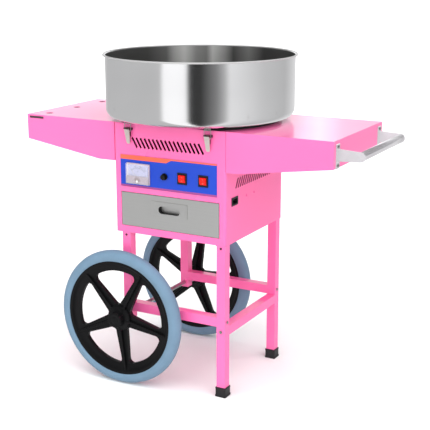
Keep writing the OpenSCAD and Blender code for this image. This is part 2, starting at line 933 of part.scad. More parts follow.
module rocker(x) {
    half = rocker_in_w / 2 - rocker_gap;
    color([0.93, 0.18, 0.1]) translate([x, rocker_y, instrument_z])
        rotate([rocker_tilt, 0, 0]) union() {
            plate_yz(-half, 2 * half) rocker_outline();
            bar_x(rocker_pin_r, 0, 0, -half - rocker_gap - rocker_pin_len,
                  half + rocker_gap + rocker_pin_len);
        }
}

module left_rocker() {
    rocker(switch_l_x);
}

module right_rocker() {
    rocker(switch_r_x);
}

module power_inlet() {
    half_w = inlet_w / 2;
    half_h = inlet_h / 2;
    body_w = half_w - inlet_wall;
    body_h = half_h - inlet_wall;
    in_w = body_w - inlet_body_wall;
    in_h = body_h - inlet_body_wall;
    recess_x = cab_r + inlet_t - inlet_recess;
    color(rubber_black) union() {
        difference() {
            union() {
                block([cab_r, inlet_y - half_w, inlet_z - half_h],
                      [cab_r + inlet_t, inlet_y + half_w, inlet_z + half_h]);
                block([cab_r - inlet_body_len, inlet_y - body_w, inlet_z - body_h],
                      [cab_r + inlet_t, inlet_y + body_w, inlet_z + body_h]);
            }
            block([recess_x, inlet_y - in_w, inlet_z - in_h],
                  [cab_r + inlet_t + over, inlet_y + in_w, inlet_z + in_h]);
        }
        for (i = [-1:1])
            block([recess_x - over, inlet_y + i * inlet_pin_step - inlet_pin_t / 2,
                   inlet_z + (i == 0 ? inlet_earth_rise / 2 : 0) - inlet_pin_t / 2],
                  [recess_x + inlet_pin_len, inlet_y + i * inlet_pin_step + inlet_pin_t / 2,
                   inlet_z + (i == 0 ? inlet_earth_rise / 2 : 0) + inlet_pin_w / 2]);
    }
}

// The hole for the pull's cup
module pull_hole(y, depth) {
    grow = pull_cup_wall + fixed_fit;
    slot_y(pull_cup_w / 2 + grow, pull_cup_h / 2 + grow, bowl_x, pull_z - pull_cup_drop,
           y, y + depth);
}

module drawer_tray() {
    front_y = cab_f + sheet;
    color(steel) difference() {
        block([bowl_x - tray_w / 2, front_y, tray_z],
              [bowl_x + tray_w / 2, front_y + tray_len, tray_z + tray_h]);
        block([bowl_x - tray_w / 2 + tray_wall, front_y + tray_wall, tray_z + tray_wall],
              [bowl_x + tray_w / 2 - tray_wall, front_y + tray_len - tray_wall,
               tray_z + tray_h + over]);
        pull_hole(front_y - over, tray_wall + 2 * over);
    }
}

module drawer_front() {
    color(steel) difference() {
        block([bowl_x - drawer_w / 2, cab_f, drawer_z],
              [bowl_x + drawer_w / 2, cab_f + sheet, drawer_z + drawer_h]);
        pull_hole(cab_f - over, sheet + 2 * over);
    }
}

module drawer_pull() {
    half_w = pull_cup_w / 2;
    half_h = pull_cup_h / 2;
    cup_z = pull_z - pull_cup_drop;
    color([0.7, 0.7, 0.71]) difference() {
        union() {
            block([bowl_x - pull_w / 2, cab_f - pull_t, pull_z - pull_h / 2],
                  [bowl_x + pull_w / 2, cab_f, pull_z + pull_h / 2]);
            slot_y(half_w + pull_cup_wall, half_h + pull_cup_wall, bowl_x, cup_z,
                   cab_f - pull_t / 2, cab_f + pull_cup_depth);
        }
        slot_y(half_w, half_h, bowl_x, cup_z, cab_f - pull_t - over,
               cab_f + pull_cup_depth - pull_cup_wall);
    }
}

// One drawer runner for the right side: a wall flange, a ledge and a guide beside the tray
module runner() {
    side = cab_w / 2 - sheet;
    guide = tray_w / 2 + pass_gap;
    color([0.62, 0.62, 0.64]) translate([bowl_x, 0, 0]) union() {
        block([side - runner_t, inner_f + panel_return, runner_z - runner_t],
              [side, inner_b - panel_return, runner_z - runner_t + runner_h]);
        block([tray_w / 2 - runner_lap, inner_f + panel_return, runner_z - runner_t],
              [side, inner_b - panel_return, runner_z]);
        block([guide, inner_f + panel_return, runner_z - runner_t],
              [guide + runner_t, inner_b - panel_return, runner_z + runner_guide_h]);
    }
}

module drawer_runners() {
    runner();
    translate([2 * bowl_x, 0, 0]) mirror([1, 0, 0]) runner();
}

// Section of the bowl's wall, bend and floor, measured from its axis
module bowl_section() {
    r = bowl_corner_r;
    in_r = bowl_corner_r - bowl_sheet;
    x = bowl_wall_r - r;
    polygon(concat(
        [[bowl_hole_r, 0]],
        arc(x, r, r, 270, 360),
        [[bowl_wall_r, rim_flange_z], [bowl_rim_r - rim_bead_r, rim_flange_z],
         [bowl_rim_r - rim_bead_r, rim_flange_z + bowl_sheet],
         [bowl_wall_r - bowl_sheet, rim_flange_z + bowl_sheet]],
        arc(x, r, in_r, 360, 270),
        [[bowl_hole_r + bowl_sheet, bowl_sheet], [bowl_hole_r + bowl_sheet, bowl_collar_h],
         [bowl_hole_r, bowl_collar_h]]
    ));
}

module bowl() {
    color(steel) translate([bowl_x, 0, bowl_z]) union() {
        rotate_extrude($fn = fine_fn) bowl_section();
        rotate_extrude($fn = fine_fn)
            translate([bowl_rim_r - rim_bead_r, bowl_h - rim_bead_r])
                circle(r = rim_bead_r, $fn = small_fn);
    }
}

module bowl_pads() {
    color(rubber_black) for (x = [-1, 1], y = [-1, 1])
        bar_z(pad_r, bowl_x + x * pad_at, y * pad_at, cab_top, bowl_z);
}

module bowl_catch(x) {
    lip_z = bail_top_z - bail_wire_r - lip_gap - lip_t;
    back_y = pin_y + bail_wire_r + pass_gap;
    block([x - catch_w / 2, back_y, lip_z], [x + catch_w / 2, back_y + catch_t, bowl_z]);
    block([x - catch_w / 2, back_y - lip_reach, lip_z],
          [x + catch_w / 2, back_y + catch_t, lip_z + lip_t]);
}

module bowl_catches() {
    color(steel) {
        bowl_catch(bowl_x - latch_offset);
        bowl_catch(bowl_x + latch_offset);
    }
}

// Front view of a latch's base plate: a short bar above a tail that the lever hides
module latch_base_outline(x) {
    top = pin_z + latch_bar_rise;
    polygon([
        [x - latch_bar_w / 2, top],
        [x - latch_bar_w / 2, top - latch_bar_h],
        [x - latch_tail_w / 2, top - latch_bar_h],
        [x - latch_tail_w / 2, top - latch_tail_len],
        [x + latch_tail_w / 2, top - latch_tail_len],
        [x + latch_tail_w / 2, top - latch_bar_h],
        [x + latch_bar_w / 2, top - latch_bar_h],
        [x + latch_bar_w / 2, top]
    ]);
}

module latch_base(x) {
    rivet_x = (latch_bar_w + 2 * ear_in) / 4 + ear_t / 2;
    plate_xz(cab_f - latch_plate_t, latch_plate_t) latch_base_outline(x);
    for (side = [-1, 1]) {
        left = side > 0 ? x + ear_in : x - ear_in - ear_t;
        block([left, pin_y - ear_nose, pin_z - ear_chin],
              [left + ear_t, cab_f, pin_z + ear_nose]);
        bar_y(rivet_r, x + side * rivet_x, pin_z + latch_bar_rise - latch_bar_h / 2,
              cab_f - latch_plate_t - rivet_h, cab_f);
    }
    bar_x(pin_r, pin_y, pin_z, x - ear_in - ear_t, x + ear_in + ear_t);
}

module latch_bases() {
    color([0.45, 0.42, 0.44]) {
        latch_base(bowl_x - latch_offset);
        latch_base(bowl_x + latch_offset);
    }
}

// Front view of the lever's blade, narrowing towards its tip
module lever_outline(x) {
    tip = pin_z - lever_len;
    polygon([
        [x - lever_w / 2, pin_z + lever_head_top],
        [x - lever_w / 2, bail_z],
        [x - lever_tip_w / 2, tip + lever_curl],
        [x - lever_tip_w / 2 + lever_curl / 2, tip],
        [x + lever_tip_w / 2 - lever_curl / 2, tip],
        [x + lever_tip_w / 2, tip + lever_curl],
        [x + lever_w / 2, bail_z],
        [x + lever_w / 2, pin_z + lever_head_top]
    ]);
}

module latch_lever(x) {
    front_y = pin_y - lever_out - lever_t;
    color(steel) difference() {
        union() {
            translate([0, front_y + lever_t, pin_z]) rotate([lever_lean, 0, 0])
                translate([0, -front_y - lever_t, -pin_z])
                    plate_xz(front_y, lever_t) lever_outline(x);
            block([x - lever_cheek, front_y + lever_t / 2, bail_z - lever_head_back],
                  [x + lever_cheek, pin_y + lever_head_back, pin_z + lever_head_top]);
        }
        bar_x(pin_r + run_fit, pin_y, pin_z, x - lever_w / 2 - over, x + lever_w / 2 + over);
        bar_x(bail_wire_r + run_fit, pin_y, bail_z, x - lever_w / 2 - over,
              x + lever_w / 2 + over);
    }
}

module left_latch_lever() {
    latch_lever(bowl_x - latch_offset);
}

module right_latch_lever() {
    latch_lever(bowl_x + latch_offset);
}

module latch_bail(x) {
    color(steel) union() {
        bar_x(bail_wire_r, pin_y, bail_z, x - bail_x, x + bail_x);
        bar_x(bail_wire_r, pin_y, bail_top_z, x - bail_x, x + bail_x);
        for (side = [-1, 1]) {
            bar_z(bail_wire_r, x + side * bail_x, pin_y, bail_z, bail_top_z);
            translate([x + side * bail_x, pin_y, bail_z])
                sphere(r = bail_wire_r, $fn = small_fn);
            translate([x + side * bail_x, pin_y, bail_top_z])
                sphere(r = bail_wire_r, $fn = small_fn);
        }
    }
}

module left_latch_bail() {
    latch_bail(bowl_x - latch_offset);
}

module right_latch_bail() {
    latch_bail(bowl_x + latch_offset);
}

module motor() {
    half = motor_plate_w / 2;
    color([0.32, 0.34, 0.36]) difference() {
        union() {
            block([bowl_x - half, -half, motor_top_z - motor_plate_t],
                  [bowl_x + half, half, motor_top_z]);
            bar_z(motor_r, bowl_x, 0, motor_z, motor_top_z - motor_plate_t, $fn);
        }
        bar_z(shaft_r + run_fit, bowl_x, 0, motor_z - over, motor_top_z + over, $fn);
    }
}

module motor_standoffs() {
    color(rubber_black) for (x = [-1, 1], y = [-1, 1])
        bar_z(standoff_r, bowl_x + x * standoff_at, y * standoff_at, motor_top_z, wall_top);
}

module motor_shaft() {
    color(steel) bar_z(shaft_r, bowl_x, 0, shaft_end_z, head_z + head_floor_t, $fn);
}

module slip_rings() {
    color([0.8, 0.6, 0.3]) difference() {
        union() {
            bar_z(ring_sleeve_r, bowl_x, 0, ring_z, ring_z + ring_stack_h, $fn);
            for (i = [0:1])
                bar_z(ring_r, bowl_x, 0, ring_z + ring_gap + i * (ring_h + ring_gap),
                      ring_z + ring_gap + i * (ring_h + ring_gap) + ring_h, $fn);
        }
        bar_z(shaft_r, bowl_x, 0, ring_z - over, ring_z + ring_stack_h + over, $fn);
    }
}

module brush_holder() {
    post_x = bowl_x + brush_post_in;
    color([0.45, 0.3, 0.2]) union() {
        block([post_x, -brush_post_w / 2, ring_z + ring_gap - brush_r],
              [post_x + brush_post_t, brush_post_w / 2, motor_z]);
        for (i = [0:1])
            bar_x(brush_r, 0, ring_z + ring_gap + ring_h / 2 + i * (ring_h + ring_gap),
                  bowl_x + ring_r + pass_gap, post_x + brush_post_t / 2);
    }
}

module spinner_base() {
    color([0.75, 0.76, 0.78]) difference() {
        union() {
            bar_z(head_r, bowl_x, 0, head_z, head_z + head_floor_t, fine_fn);
            bar_z(head_hub_r, bowl_x, 0, head_z - head_hub_h, head_z, $fn);
        }
        bar_z(shaft_r, bowl_x, 0, head_z - head_hub_h - over, head_z + head_floor_t + over, $fn);
    }
}

module heating_element() {
    z = head_z + head_floor_t;
    color([0.5, 0.4, 0.35]) difference() {
        bar_z(element_r, bowl_x, 0, z, z + element_h, $fn);
        bar_z(element_r - element_t, bowl_x, 0, z - over, z + element_h + over, $fn);
    }
}

module spinner_band() {
    z = head_z + head_floor_t;
    color([0.8, 0.8, 0.8]) difference() {
        bar_z(band_r, bowl_x, 0, z, z + band_h, fine_fn);
        bar_z(band_r - band_t, bowl_x, 0, z - over, z + band_h + over, fine_fn);
        for (i = [0:band_slots - 1])
            translate([bowl_x, 0, 0]) rotate([0, 0, i * 360 / band_slots])
                block([band_r - 2 * band_t, -band_slot_w / 2, z + band_edge],
                      [band_r + band_t, band_slot_w / 2, z + band_h - band_edge]);
    }
}

module spinner_lid() {
    z = head_z + head_floor_t;
    color([0.82, 0.82, 0.84]) difference() {
        bar_z(head_r, bowl_x, 0, z + band_h, z + band_h + lid_t, fine_fn);
        bar_z(lid_hole_r, bowl_x, 0, z + band_h - over, z + band_h + lid_t + over, $fn);
    }
}

// A square tube along Z with both ends open
module leg(x, y, from, to) {
    difference() {
        block([x, y, from], [x + tube, y + tube, to]);
        block([x + tube_wall, y + tube_wall, from - over],
              [x + tube - tube_wall, y + tube - tube_wall, to + over]);
    }
}

module long_legs() {
    color(pink) difference() {
        union() {
            leg(leg_r_x, leg_f_y, foot_floor, cab_bottom);
            leg(leg_r_x, leg_b_y, foot_floor, cab_bottom);
        }
        for (place = leg_screws()) fastener_hole(place, screw_r, screw_len);
        for (place = bolts()) fastener_hole(place, bolt_r, frame_bolt_len);
    }
}

module short_legs() {
    color(pink) difference() {
        union() for (y = [leg_f_y, leg_b_y]) {
            leg(leg_l_x, y, short_leg_z, cab_bottom);
            block([leg_l_x, y, short_leg_z],
                  [leg_l_x + tube, y + tube, short_leg_z + tube_wall]);
        }
        for (place = leg_screws()) fastener_hole(place, screw_r, screw_len);
        for (place = bolts()) fastener_hole(place, bolt_r, frame_bolt_len);
        bar_y(axle_r + fixed_fit, axle_x, axle_z, leg_f_y - over, leg_b_y + tube + over, $fn);
    }
}

// Cross bars and side bar are tubes with closed ends that take the bolts
module cross_bars() {
    color(pink) for (y = [leg_f_y, leg_b_y]) difference() {
        block([leg_l_x + tube, y, cross_bar_z], [leg_r_x, y + tube, cross_bar_z + tube]);
        block([leg_l_x + tube + bar_end_t, y + tube_wall, cross_bar_z + tube_wall],
              [leg_r_x - bar_end_t, y + tube - tube_wall, cross_bar_z + tube - tube_wall]);
        for (place = bolts()) fastener_hole(place, bolt_r, frame_bolt_len);
    }
}

module side_bar() {
    color(pink) difference() {
        block([leg_r_x, leg_f_y + tube, side_bar_z],
              [leg_r_x + tube, leg_b_y, side_bar_z + tube]);
        block([leg_r_x + tube_wall, leg_f_y + tube + bar_end_t, side_bar_z + tube_wall],
              [leg_r_x + tube - tube_wall, leg_b_y - bar_end_t,
               side_bar_z + tube - tube_wall]);
        for (place = bolts()) fastener_hole(place, bolt_r, frame_bolt_len);
    }
}

module rubber_foot(y) {
    outer = foot_wall + fixed_fit;
    skirt = outer + foot_flare;
    difference() {
        union() {
            block([leg_r_x - outer, y - outer, 0],
                  [leg_r_x + tube + outer, y + tube + outer, foot_h]);
            block([leg_r_x - skirt, y - skirt, 0],
                  [leg_r_x + tube + skirt, y + tube + skirt, foot_skirt_h]);
        }
        block([leg_r_x - fixed_fit, y - fixed_fit, foot_floor],
              [leg_r_x + tube + fixed_fit, y + tube + fixed_fit, foot_h + over]);
    }
}

module rubber_feet() {
    color(rubber_black) {
        rubber_foot(leg_f_y);
        rubber_foot(leg_b_y);
    }
}

module axle() {
    color(steel) bar_y(axle_r, axle_x, axle_z, axle_end_y, -axle_end_y, $fn);
}

module ring_y(outer_r, inner_r, from, to) {
    difference() {
        bar_y(outer_r, axle_x, axle_z, from, to);
        bar_y(inner_r, axle_x, axle_z, from - over, to + over, $fn);
    }
}

// Spacer between leg and hub, and the retaining nut in the hub's pocket
module spacer_and_nut(leg_y) {
    ring_y(spacer_r, axle_r, hub_inner_y + pass_gap, leg_y);
    ring_y(nut_r, axle_r, axle_end_y, axle_end_y + nut_len);
}

module axle_spacers() {
    color([0.68, 0.68, 0.7]) {
        spacer_and_nut(leg_f_y);
        mirror([0, 1, 0]) spacer_and_nut(cab_f + leg_inset_rear);
    }
}

// Section of the rim about the axle, from its land under the tyre down to the web
module rim_section() {
    polygon([
        [rim_r, -rim_w / 2],
        [rim_r, rim_w / 2],
        [rim_r - rim_land, rim_w / 2],
        [rim_shoulder_r, web_t / 2 * shoulder_share],
        [rim_inner_r, web_t / 2],
        [rim_inner_r, -web_t / 2],
        [rim_shoulder_r, -web_t / 2 * shoulder_share],
        [rim_r - rim_land, -rim_w / 2]
    ]);
}

// One opening between two spokes, about the direction of the first spoke
module window_outline() {
    half_step = 180 / spoke_count;
    out_r = rim_inner_r + over - window_corner_r;
    out_angle = asin((spoke_w / 2 + window_corner_r) / out_r);
    root_r = (spoke_root_w / 2 + window_root_r) / sin(half_step);
    hull() {
        rotate(half_step) translate([root_r, 0]) circle(r = window_root_r, $fn = small_fn);
        for (i = [-window_arc_steps:window_arc_steps])
            rotate(half_step + (half_step - out_angle) * i / window_arc_steps)
                translate([out_r, 0]) circle(r = window_corner_r, $fn = small_fn);
    }
}

module wheel(angle) {
    step = 360 / spoke_count;
    difference() {
        translate([axle_x, wheel_y, axle_z]) rotate([90, 0, 0]) union() {
            rotate_extrude($fn = fine_fn) rim_section();
            translate([0, 0, -web_t / 2]) linear_extrude(web_t) difference() {
                circle(r = rim_shoulder_r, $fn = fine_fn);
                for (i = [0:spoke_count - 1]) rotate(angle + i * step) window_outline();
            }
            for (i = [0:spoke_count - 1]) rotate([0, 0, angle + i * step])
                block([hub_r - rib_w, -rib_w / 2, -rim_w / 2 + rib_set_in],
                      [rim_r - rim_land, rib_w / 2, rim_w / 2 - rib_set_in]);
            translate([0, 0, -hub_boss_t / 2])
                cylinder(r = hub_boss_r, h = hub_boss_t, $fn = $fn);
            translate([0, 0, wheel_y - hub_inner_y])
                cylinder(r = hub_r, h = hub_inner_y - hub_outer_y, $fn = $fn);
        }
        bar_y(axle_r + run_fit, axle_x, axle_z, hub_outer_y - over, hub_inner_y + over, $fn);
        bar_y(hub_pocket_r, axle_x, axle_z, hub_outer_y - over,
              hub_outer_y + hub_pocket_depth, $fn);
    }
}

module front_wheel() {
    color(dark) wheel(front_spoke_angle);
}

module rear_wheel() {
    color(dark) mirror([0, 1, 0]) wheel(rear_spoke_angle);
}

module tyre() {
    section_r = tyre_w / 2;
    color(tyre_blue) translate([axle_x, wheel_y, axle_z]) rotate([90, 0, 0])
        rotate_extrude($fn = fine_fn) difference() {
            translate([tyre_r - section_r, 0]) circle(r = section_r, $fn = small_fn);
            translate([rim_r - 2 * section_r, -tyre_w])
                square([2 * section_r, 2 * tyre_w]);
        }
}

module front_tyre() {
    tyre();
}

module rear_tyre() {
    mirror([0, 1, 0]) tyre();
}

module hub_cap() {
    color(dark) union() {
        bar_y(hub_r, axle_x, axle_z, hub_outer_y - cap_t, hub_outer_y, $fn);
        difference() {
            bar_y(hub_pocket_r, axle_x, axle_z, hub_outer_y - cap_t / 2,
                  hub_outer_y + cap_skirt - pass_gap, $fn);
            bar_y(hub_pocket_r - cap_skirt_w, axle_x, axle_z, hub_outer_y,
                  hub_outer_y + cap_skirt + over, $fn);
        }
    }
}

module front_hub_cap() {
    hub_cap();
}

module rear_hub_cap() {
    mirror([0, 1, 0]) hub_cap();
}

module cabinet_screws() {
    color([0.5, 0.32, 0.4])
        for (place = concat(leg_screws(), side_screws()))
            fastener(place, screw_head_r, screw_head_h, screw_r, screw_len);
}

module frame_bolts() {
    color(steel) {
        for (place = bolts())
            fastener(place, bolt_head_r, bolt_head_h, bolt_r, frame_bolt_len);
        for (place = handle_bolts())
            fastener(place, bolt_head_r, bolt_head_h, bolt_r, bolt_len);
    }
}

cabinet_front();
cabinet_left_side();
cabinet_right_side();
cabinet_rear();
cabinet_top();
cabinet_floor();
divider_plate();
left_shelf();
right_shelf();
blank_plate();
handle_brackets();
handle_tube();
control_panel();
meter_case();
meter_dial();
meter_needle();
meter_cover();
fuse_holder();
fuse_link();
fuse_cap();
switch_bezels();
left_rocker();
right_rocker();
power_inlet();
drawer_tray();
drawer_front();
drawer_pull();
drawer_runners();
bowl();
bowl_pads();
bowl_catches();
latch_bases();
left_latch_lever();
right_latch_lever();
left_latch_bail();
right_latch_bail();
motor();
motor_standoffs();
motor_shaft();
slip_rings();
brush_holder();
spinner_base();
heating_element();
spinner_band();
spinner_lid();
long_legs();
short_legs();
cross_bars();
side_bar();
rubber_feet();
axle();
axle_spacers();
front_wheel();
rear_wheel();
front_tyre();
rear_tyre();
front_hub_cap();
rear_hub_cap();
cabinet_screws();
frame_bolts();
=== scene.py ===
"""Dresses the electric candy floss cart: finishes, fine pieces, studio and camera.

Every length is in metres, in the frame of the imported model. X runs along the front to the
right, Y runs to the back and Z is up.
"""

import math

import bmesh
import bpy
import mathutils
import numpy as np
from bpy.props import FloatProperty, FloatVectorProperty, PointerProperty
from mathutils import Matrix, Vector


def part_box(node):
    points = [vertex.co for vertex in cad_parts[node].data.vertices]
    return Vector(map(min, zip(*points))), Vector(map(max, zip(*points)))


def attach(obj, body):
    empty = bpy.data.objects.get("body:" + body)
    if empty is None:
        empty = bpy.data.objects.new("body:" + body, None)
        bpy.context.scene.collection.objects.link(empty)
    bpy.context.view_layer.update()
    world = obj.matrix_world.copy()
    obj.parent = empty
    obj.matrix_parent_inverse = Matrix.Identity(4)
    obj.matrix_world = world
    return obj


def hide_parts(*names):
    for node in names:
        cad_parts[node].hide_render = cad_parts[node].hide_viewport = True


bl_info = {
    "name": "Candy floss cart",
    "version": (1, 0, 0),
    "blender": (4, 5, 0),
    "location": "3D View > Sidebar > Cart",
    "description": "Builds the finishes and fine pieces of an electric candy floss cart",
    "category": "Object",
}

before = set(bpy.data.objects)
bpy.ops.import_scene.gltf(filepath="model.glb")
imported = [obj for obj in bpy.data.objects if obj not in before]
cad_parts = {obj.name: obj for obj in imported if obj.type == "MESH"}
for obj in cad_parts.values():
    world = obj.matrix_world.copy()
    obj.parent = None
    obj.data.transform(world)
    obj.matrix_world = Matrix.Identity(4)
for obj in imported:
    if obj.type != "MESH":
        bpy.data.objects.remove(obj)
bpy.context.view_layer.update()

MM = 0.001
ROOT = "cart"
WHOLE_TURN = 2 * math.pi
# Edges sharper than this stay crisp or are rounded
SMOOTH_BELOW = math.radians(34)
BOWL_SEGMENTS = 192
# Thickness of the bowl's sheet
GAUGE = 1.2 * MM
SPOKES = 5
# Noise seldom leaves this range, so tones and roughness are spread over it
GRAIN_FROM, GRAIN_TO = 0.3, 0.7


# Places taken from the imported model


def low(node):
    """Lowest corner of a node's box."""
    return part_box(node)[0]


def high(node):
    """Highest corner of a node's box."""
    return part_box(node)[1]


def middle(node):
    """Centre of a node's box."""
    lowest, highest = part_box(node)
    return (lowest + highest) / 2


# Sizes and colours that a user may change


def colour(name, description, rgb):
    """A colour property in linear red, green and blue."""
    return FloatVectorProperty(
        name=name,
        description=description,
        subtype="COLOR",
        size=3,
        min=0.0,
        max=1.0,
        default=rgb,
    )


def length(name, description, value, lowest, highest):
    """A length property with its range."""
    return FloatProperty(
        name=name,
        description=description,
        default=value,
        min=lowest,
        max=highest,
        subtype="DISTANCE",
        unit="LENGTH",
        precision=4,
    )


def share(name, description, value):
    """A property from none to all."""
    return FloatProperty(
        name=name, description=description, default=value, min=0.0, max=1.0, subtype="FACTOR"
    )


class CartPaint(bpy.types.PropertyGroup):
    """Paint of the cabinet."""

    pink: colour("Pink paint", "Powder coat of cabinet, shelves and legs", (0.93, 0.145, 0.40))
    pink_roughness: share("Paint roughness", "Roughness of the powder coat", 0.32)
    edge: length("Sheet edge", "Rounding of the folded sheet's edges", 0.5 * MM, 0.1 * MM, MM)
    tube_edge: length("Tube edge", "Corner radius of the square tubes", 1.6 * MM, MM, 3 * MM)


class CartPanel(bpy.types.PropertyGroup):
    """Colours and sizes of the control panel."""

    blue: colour("Panel blue", "Field of the control panel", (0.001, 0.045, 0.47))
    orange: colour("Panel orange", "Band along the panel's top", (0.86, 0.115, 0.06))
    # The violet line is painted shade of the ledge below the panel
    violet: colour("Panel violet", "Line along the panel's lower edge", (0.30, 0.05, 0.22))
    band: length("Band height", "Height of the orange band on the left", 12 * MM, 8 * MM, 16 * MM)
    strip: length("Strip height", "Height of the orange strip on the right", 4 * MM, MM, 8 * MM)
    rocker_red: colour("Rocker red", "Colour of both rockers", (0.72, 0.006, 0.001))
    case_tint: colour("Meter case", "Moulded case of the voltmeter", (0.52, 0.43, 0.50))


class CartBowl(bpy.types.PropertyGroup):
    """Finish and rim of the bowl."""

    steel: colour("Bowl steel", "Tint of the polished bowl", (0.93, 0.93, 0.935))
    roughness: share("Bowl roughness", "Roughness of the brushed bowl", 0.14)
    # The rim tint is painted shade: a darker copy of the bowl steel for the rolled rim
    rim: colour("Rim steel", "Tint of the rolled rim", (0.60, 0.60, 0.60))
    # The mat is painted shadow: a thin black sheet where the top lies in shade under the bowl's
    # edge
    mat: length("Shadow mat radius", "Radius of the rubber mat below", 216 * MM, 150 * MM, 230 * MM)
    bend: length("Floor bend", "Radius between floor and wall", 22 * MM, 12 * MM, 30 * MM)


class CartWheels(bpy.types.PropertyGroup):
    """Colours and sizes of the wheels."""

    tyre: colour("Tyre rubber", "Colour of the solid tyres", (0.135, 0.225, 0.315))
    moulding: colour("Wheel plastic", "Colour of the moulded wheels", (0.004, 0.004, 0.0045))
    rib: length("Rib height", "Height of the rib along each spoke", 7 * MM, 2 * MM, 8 * MM)
    fillet: length("Window corner", "Corner radius between spoke and rim", 13 * MM, 6 * MM, 18 * MM)


class CartMetal(bpy.types.PropertyGroup):
    """Tints of the bare metal."""

    sheet: colour("Drawer steel", "Tint of the drawer's front", (0.87, 0.87, 0.85))
    chrome: colour("Chrome", "Tint of the handle", (0.93, 0.90, 0.94))
    screw_turn: FloatProperty(
        name="Screw turn",
        description="Turn of the crosses in the screw heads",
        default=math.radians(20),
        subtype="ANGLE",
    )


class CartStage(bpy.types.PropertyGroup):
    """Floor, light and camera."""

    floor: colour("Floor", "Pale studio floor", (0.95, 0.95, 0.95))
    brightness: FloatProperty(
        name="Room light", description="Strength of the room's light", default=1.0, min=0.0
    )
    lens: FloatProperty(
        name="Lens",
        description="Focal length on a 36 mm wide sensor",
        default=83.97,
        min=20,
        subtype="DISTANCE_CAMERA",
    )


SETTINGS = {
    "cart_paint": CartPaint,
    "cart_panel": CartPanel,
    "cart_bowl": CartBowl,
    "cart_wheels": CartWheels,
    "cart_metal": CartMetal,
    "cart_stage": CartStage,
}


# Mesh work shared by the pieces


FACING_FRONT = Matrix(((1, 0, 0, 0), (0, 0, -1, 0), (0, 1, 0, 0), (0, 0, 0, 1)))
FACING_REAR = Matrix(((1, 0, 0, 0), (0, 0, 1, 0), (0, 1, 0, 0), (0, 0, 0, 1)))


def at(x, y, z):
    """Matrix that moves a piece to a place."""
    return Matrix.Translation(Vector((x, y, z)))


def ring(radius, steps, x=0.0, y=0.0):
    """Points round a circle, in metres."""
    turns = [WHOLE_TURN * i / steps for i in range(steps)]
    return [(x + radius * math.cos(a), y + radius * math.sin(a)) for a in turns]


def bend(x, y, radius, start, end, steps):
    """Points along an arc, with its angles in degrees."""
    turns = np.radians(np.linspace(start, end, steps + 1))
    return [(x + radius * math.cos(a), y + radius * math.sin(a)) for a in turns]


def rounded_box(width, height, radius, steps=6):
    """Outline of a rectangle about the origin with round corners."""
    x, y = width / 2 - radius, height / 2 - radius
    return (
        bend(x, y, radius, 0, 90, steps)
        + bend(-x, y, radius, 90, 180, steps)
        + bend(-x, -y, radius, 180, 270, steps)
        + bend(x, -y, radius, 270, 360, steps)
    )


def outline_round(points):
    """The tightest convex outline round the points."""
    points = [Vector(p) for p in points]
    return [tuple(points[i]) for i in mathutils.geometry.convex_hull_2d(points)]


def turned(profile, segments):
    """A bmesh of a closed profile of (radius, height) points, turned about Z."""
    bm = bmesh.new()
    rows = []
    for i in range(segments):
        c, s = math.cos(WHOLE_TURN * i / segments), math.sin(WHOLE_TURN * i / segments)
        rows.append([bm.verts.new((r * c, r * s, h)) for r, h in profile])
    for i, row in enumerate(rows):
        beside = rows[(i + 1) % segments]
        for j in range(len(profile)):
            k = (j + 1) % len(profile)
            bm.faces.new((row[j], beside[j], beside[k], row[k]))
    return bm


def cut_sheet(outer, holes, bottom, top):
    """A bmesh of a flat sheet between two heights, with its outline and holes."""
    bm = bmesh.new()
    for loop in [outer, *holes]:
        corners = [bm.verts.new((x, y, bottom)) for x, y in loop]
        for i, corner in enumerate(corners):
            bm.edges.new((corner, corners[(i + 1) % len(corners)]))
    bmesh.ops.triangle_fill(bm, edges=bm.edges, use_beauty=True, use_dissolve=False)
    grown = bmesh.ops.extrude_face_region(bm, geom=bm.faces[:])
    raised = [v for v in grown["geom"] if isinstance(v, bmesh.types.BMVert)]
    bmesh.ops.translate(bm, verts=raised, vec=(0, 0, top - bottom))
    return bm


def stacked(outlines):
    """A bmesh skinned over outlines of equal length, each given with its height."""
    bm = bmesh.new()
    rows = [[bm.verts.new((x, y, z)) for x, y in loop] for z, loop in outlines]
    for under, over in zip(rows, rows[1:]):
        for i in range(len(under)):
            k = (i + 1) % len(under)
            bm.faces.new((under[i], under[k], over[k], over[i]))
    bm.faces.new(rows[0])
    bm.faces.new(rows[-1])
    return bm


def swept(path, radius, sides):
    """A bmesh of a round wire along points."""
    path = [Vector(p) for p in path]
    bm = bmesh.new()
    rows = []
    side = None
    for i, point in enumerate(path):
        ahead = (path[min(i + 1, len(path) - 1)] - path[max(i - 1, 0)]).normalized()
        if side is None:
            side = ahead.orthogonal().normalized()
        side = (side - ahead * side.dot(ahead)).normalized()
        other = ahead.cross(side)
        rows.append(
            [bm.verts.new(point + radius * (side * c + other * s)) for c, s in ring(1.0, sides)]
        )
    for under, over in zip(rows, rows[1:]):
        for i in range(sides):
            k = (i + 1) % sides
            bm.faces.new((under[i], under[k], over[k], over[i]))
    bm.faces.new(rows[0])
    bm.faces.new(rows[-1])
    return bm


def joined(*parts):
    """One bmesh of several."""
    bm = bmesh.new()
    for part in parts:
        mesh = bpy.data.meshes.new("part")
        part.to_mesh(mesh)
        part.free()
        bm.from_mesh(mesh)
        bpy.data.meshes.remove(mesh)
    return bm


def moved(bm, matrix):
    """The bmesh after a matrix has moved it."""
    bmesh.ops.transform(bm, matrix=matrix, verts=bm.verts)
    return bm


def mesh_of(name, bm, crisp=True):
    """The finished mesh of a bmesh, with its sharp edges left crisp if asked."""
    bmesh.ops.remove_doubles(bm, verts=bm.verts, dist=0.001 * MM)
    bmesh.ops.recalc_face_normals(bm, faces=bm.faces)
    mesh = bpy.data.meshes.new(name)
    bm.to_mesh(mesh)
    bm.free()
    mesh.shade_smooth()
    if crisp:
        mesh.set_sharp_from_angle(angle=SMOOTH_BELOW)
    return mesh


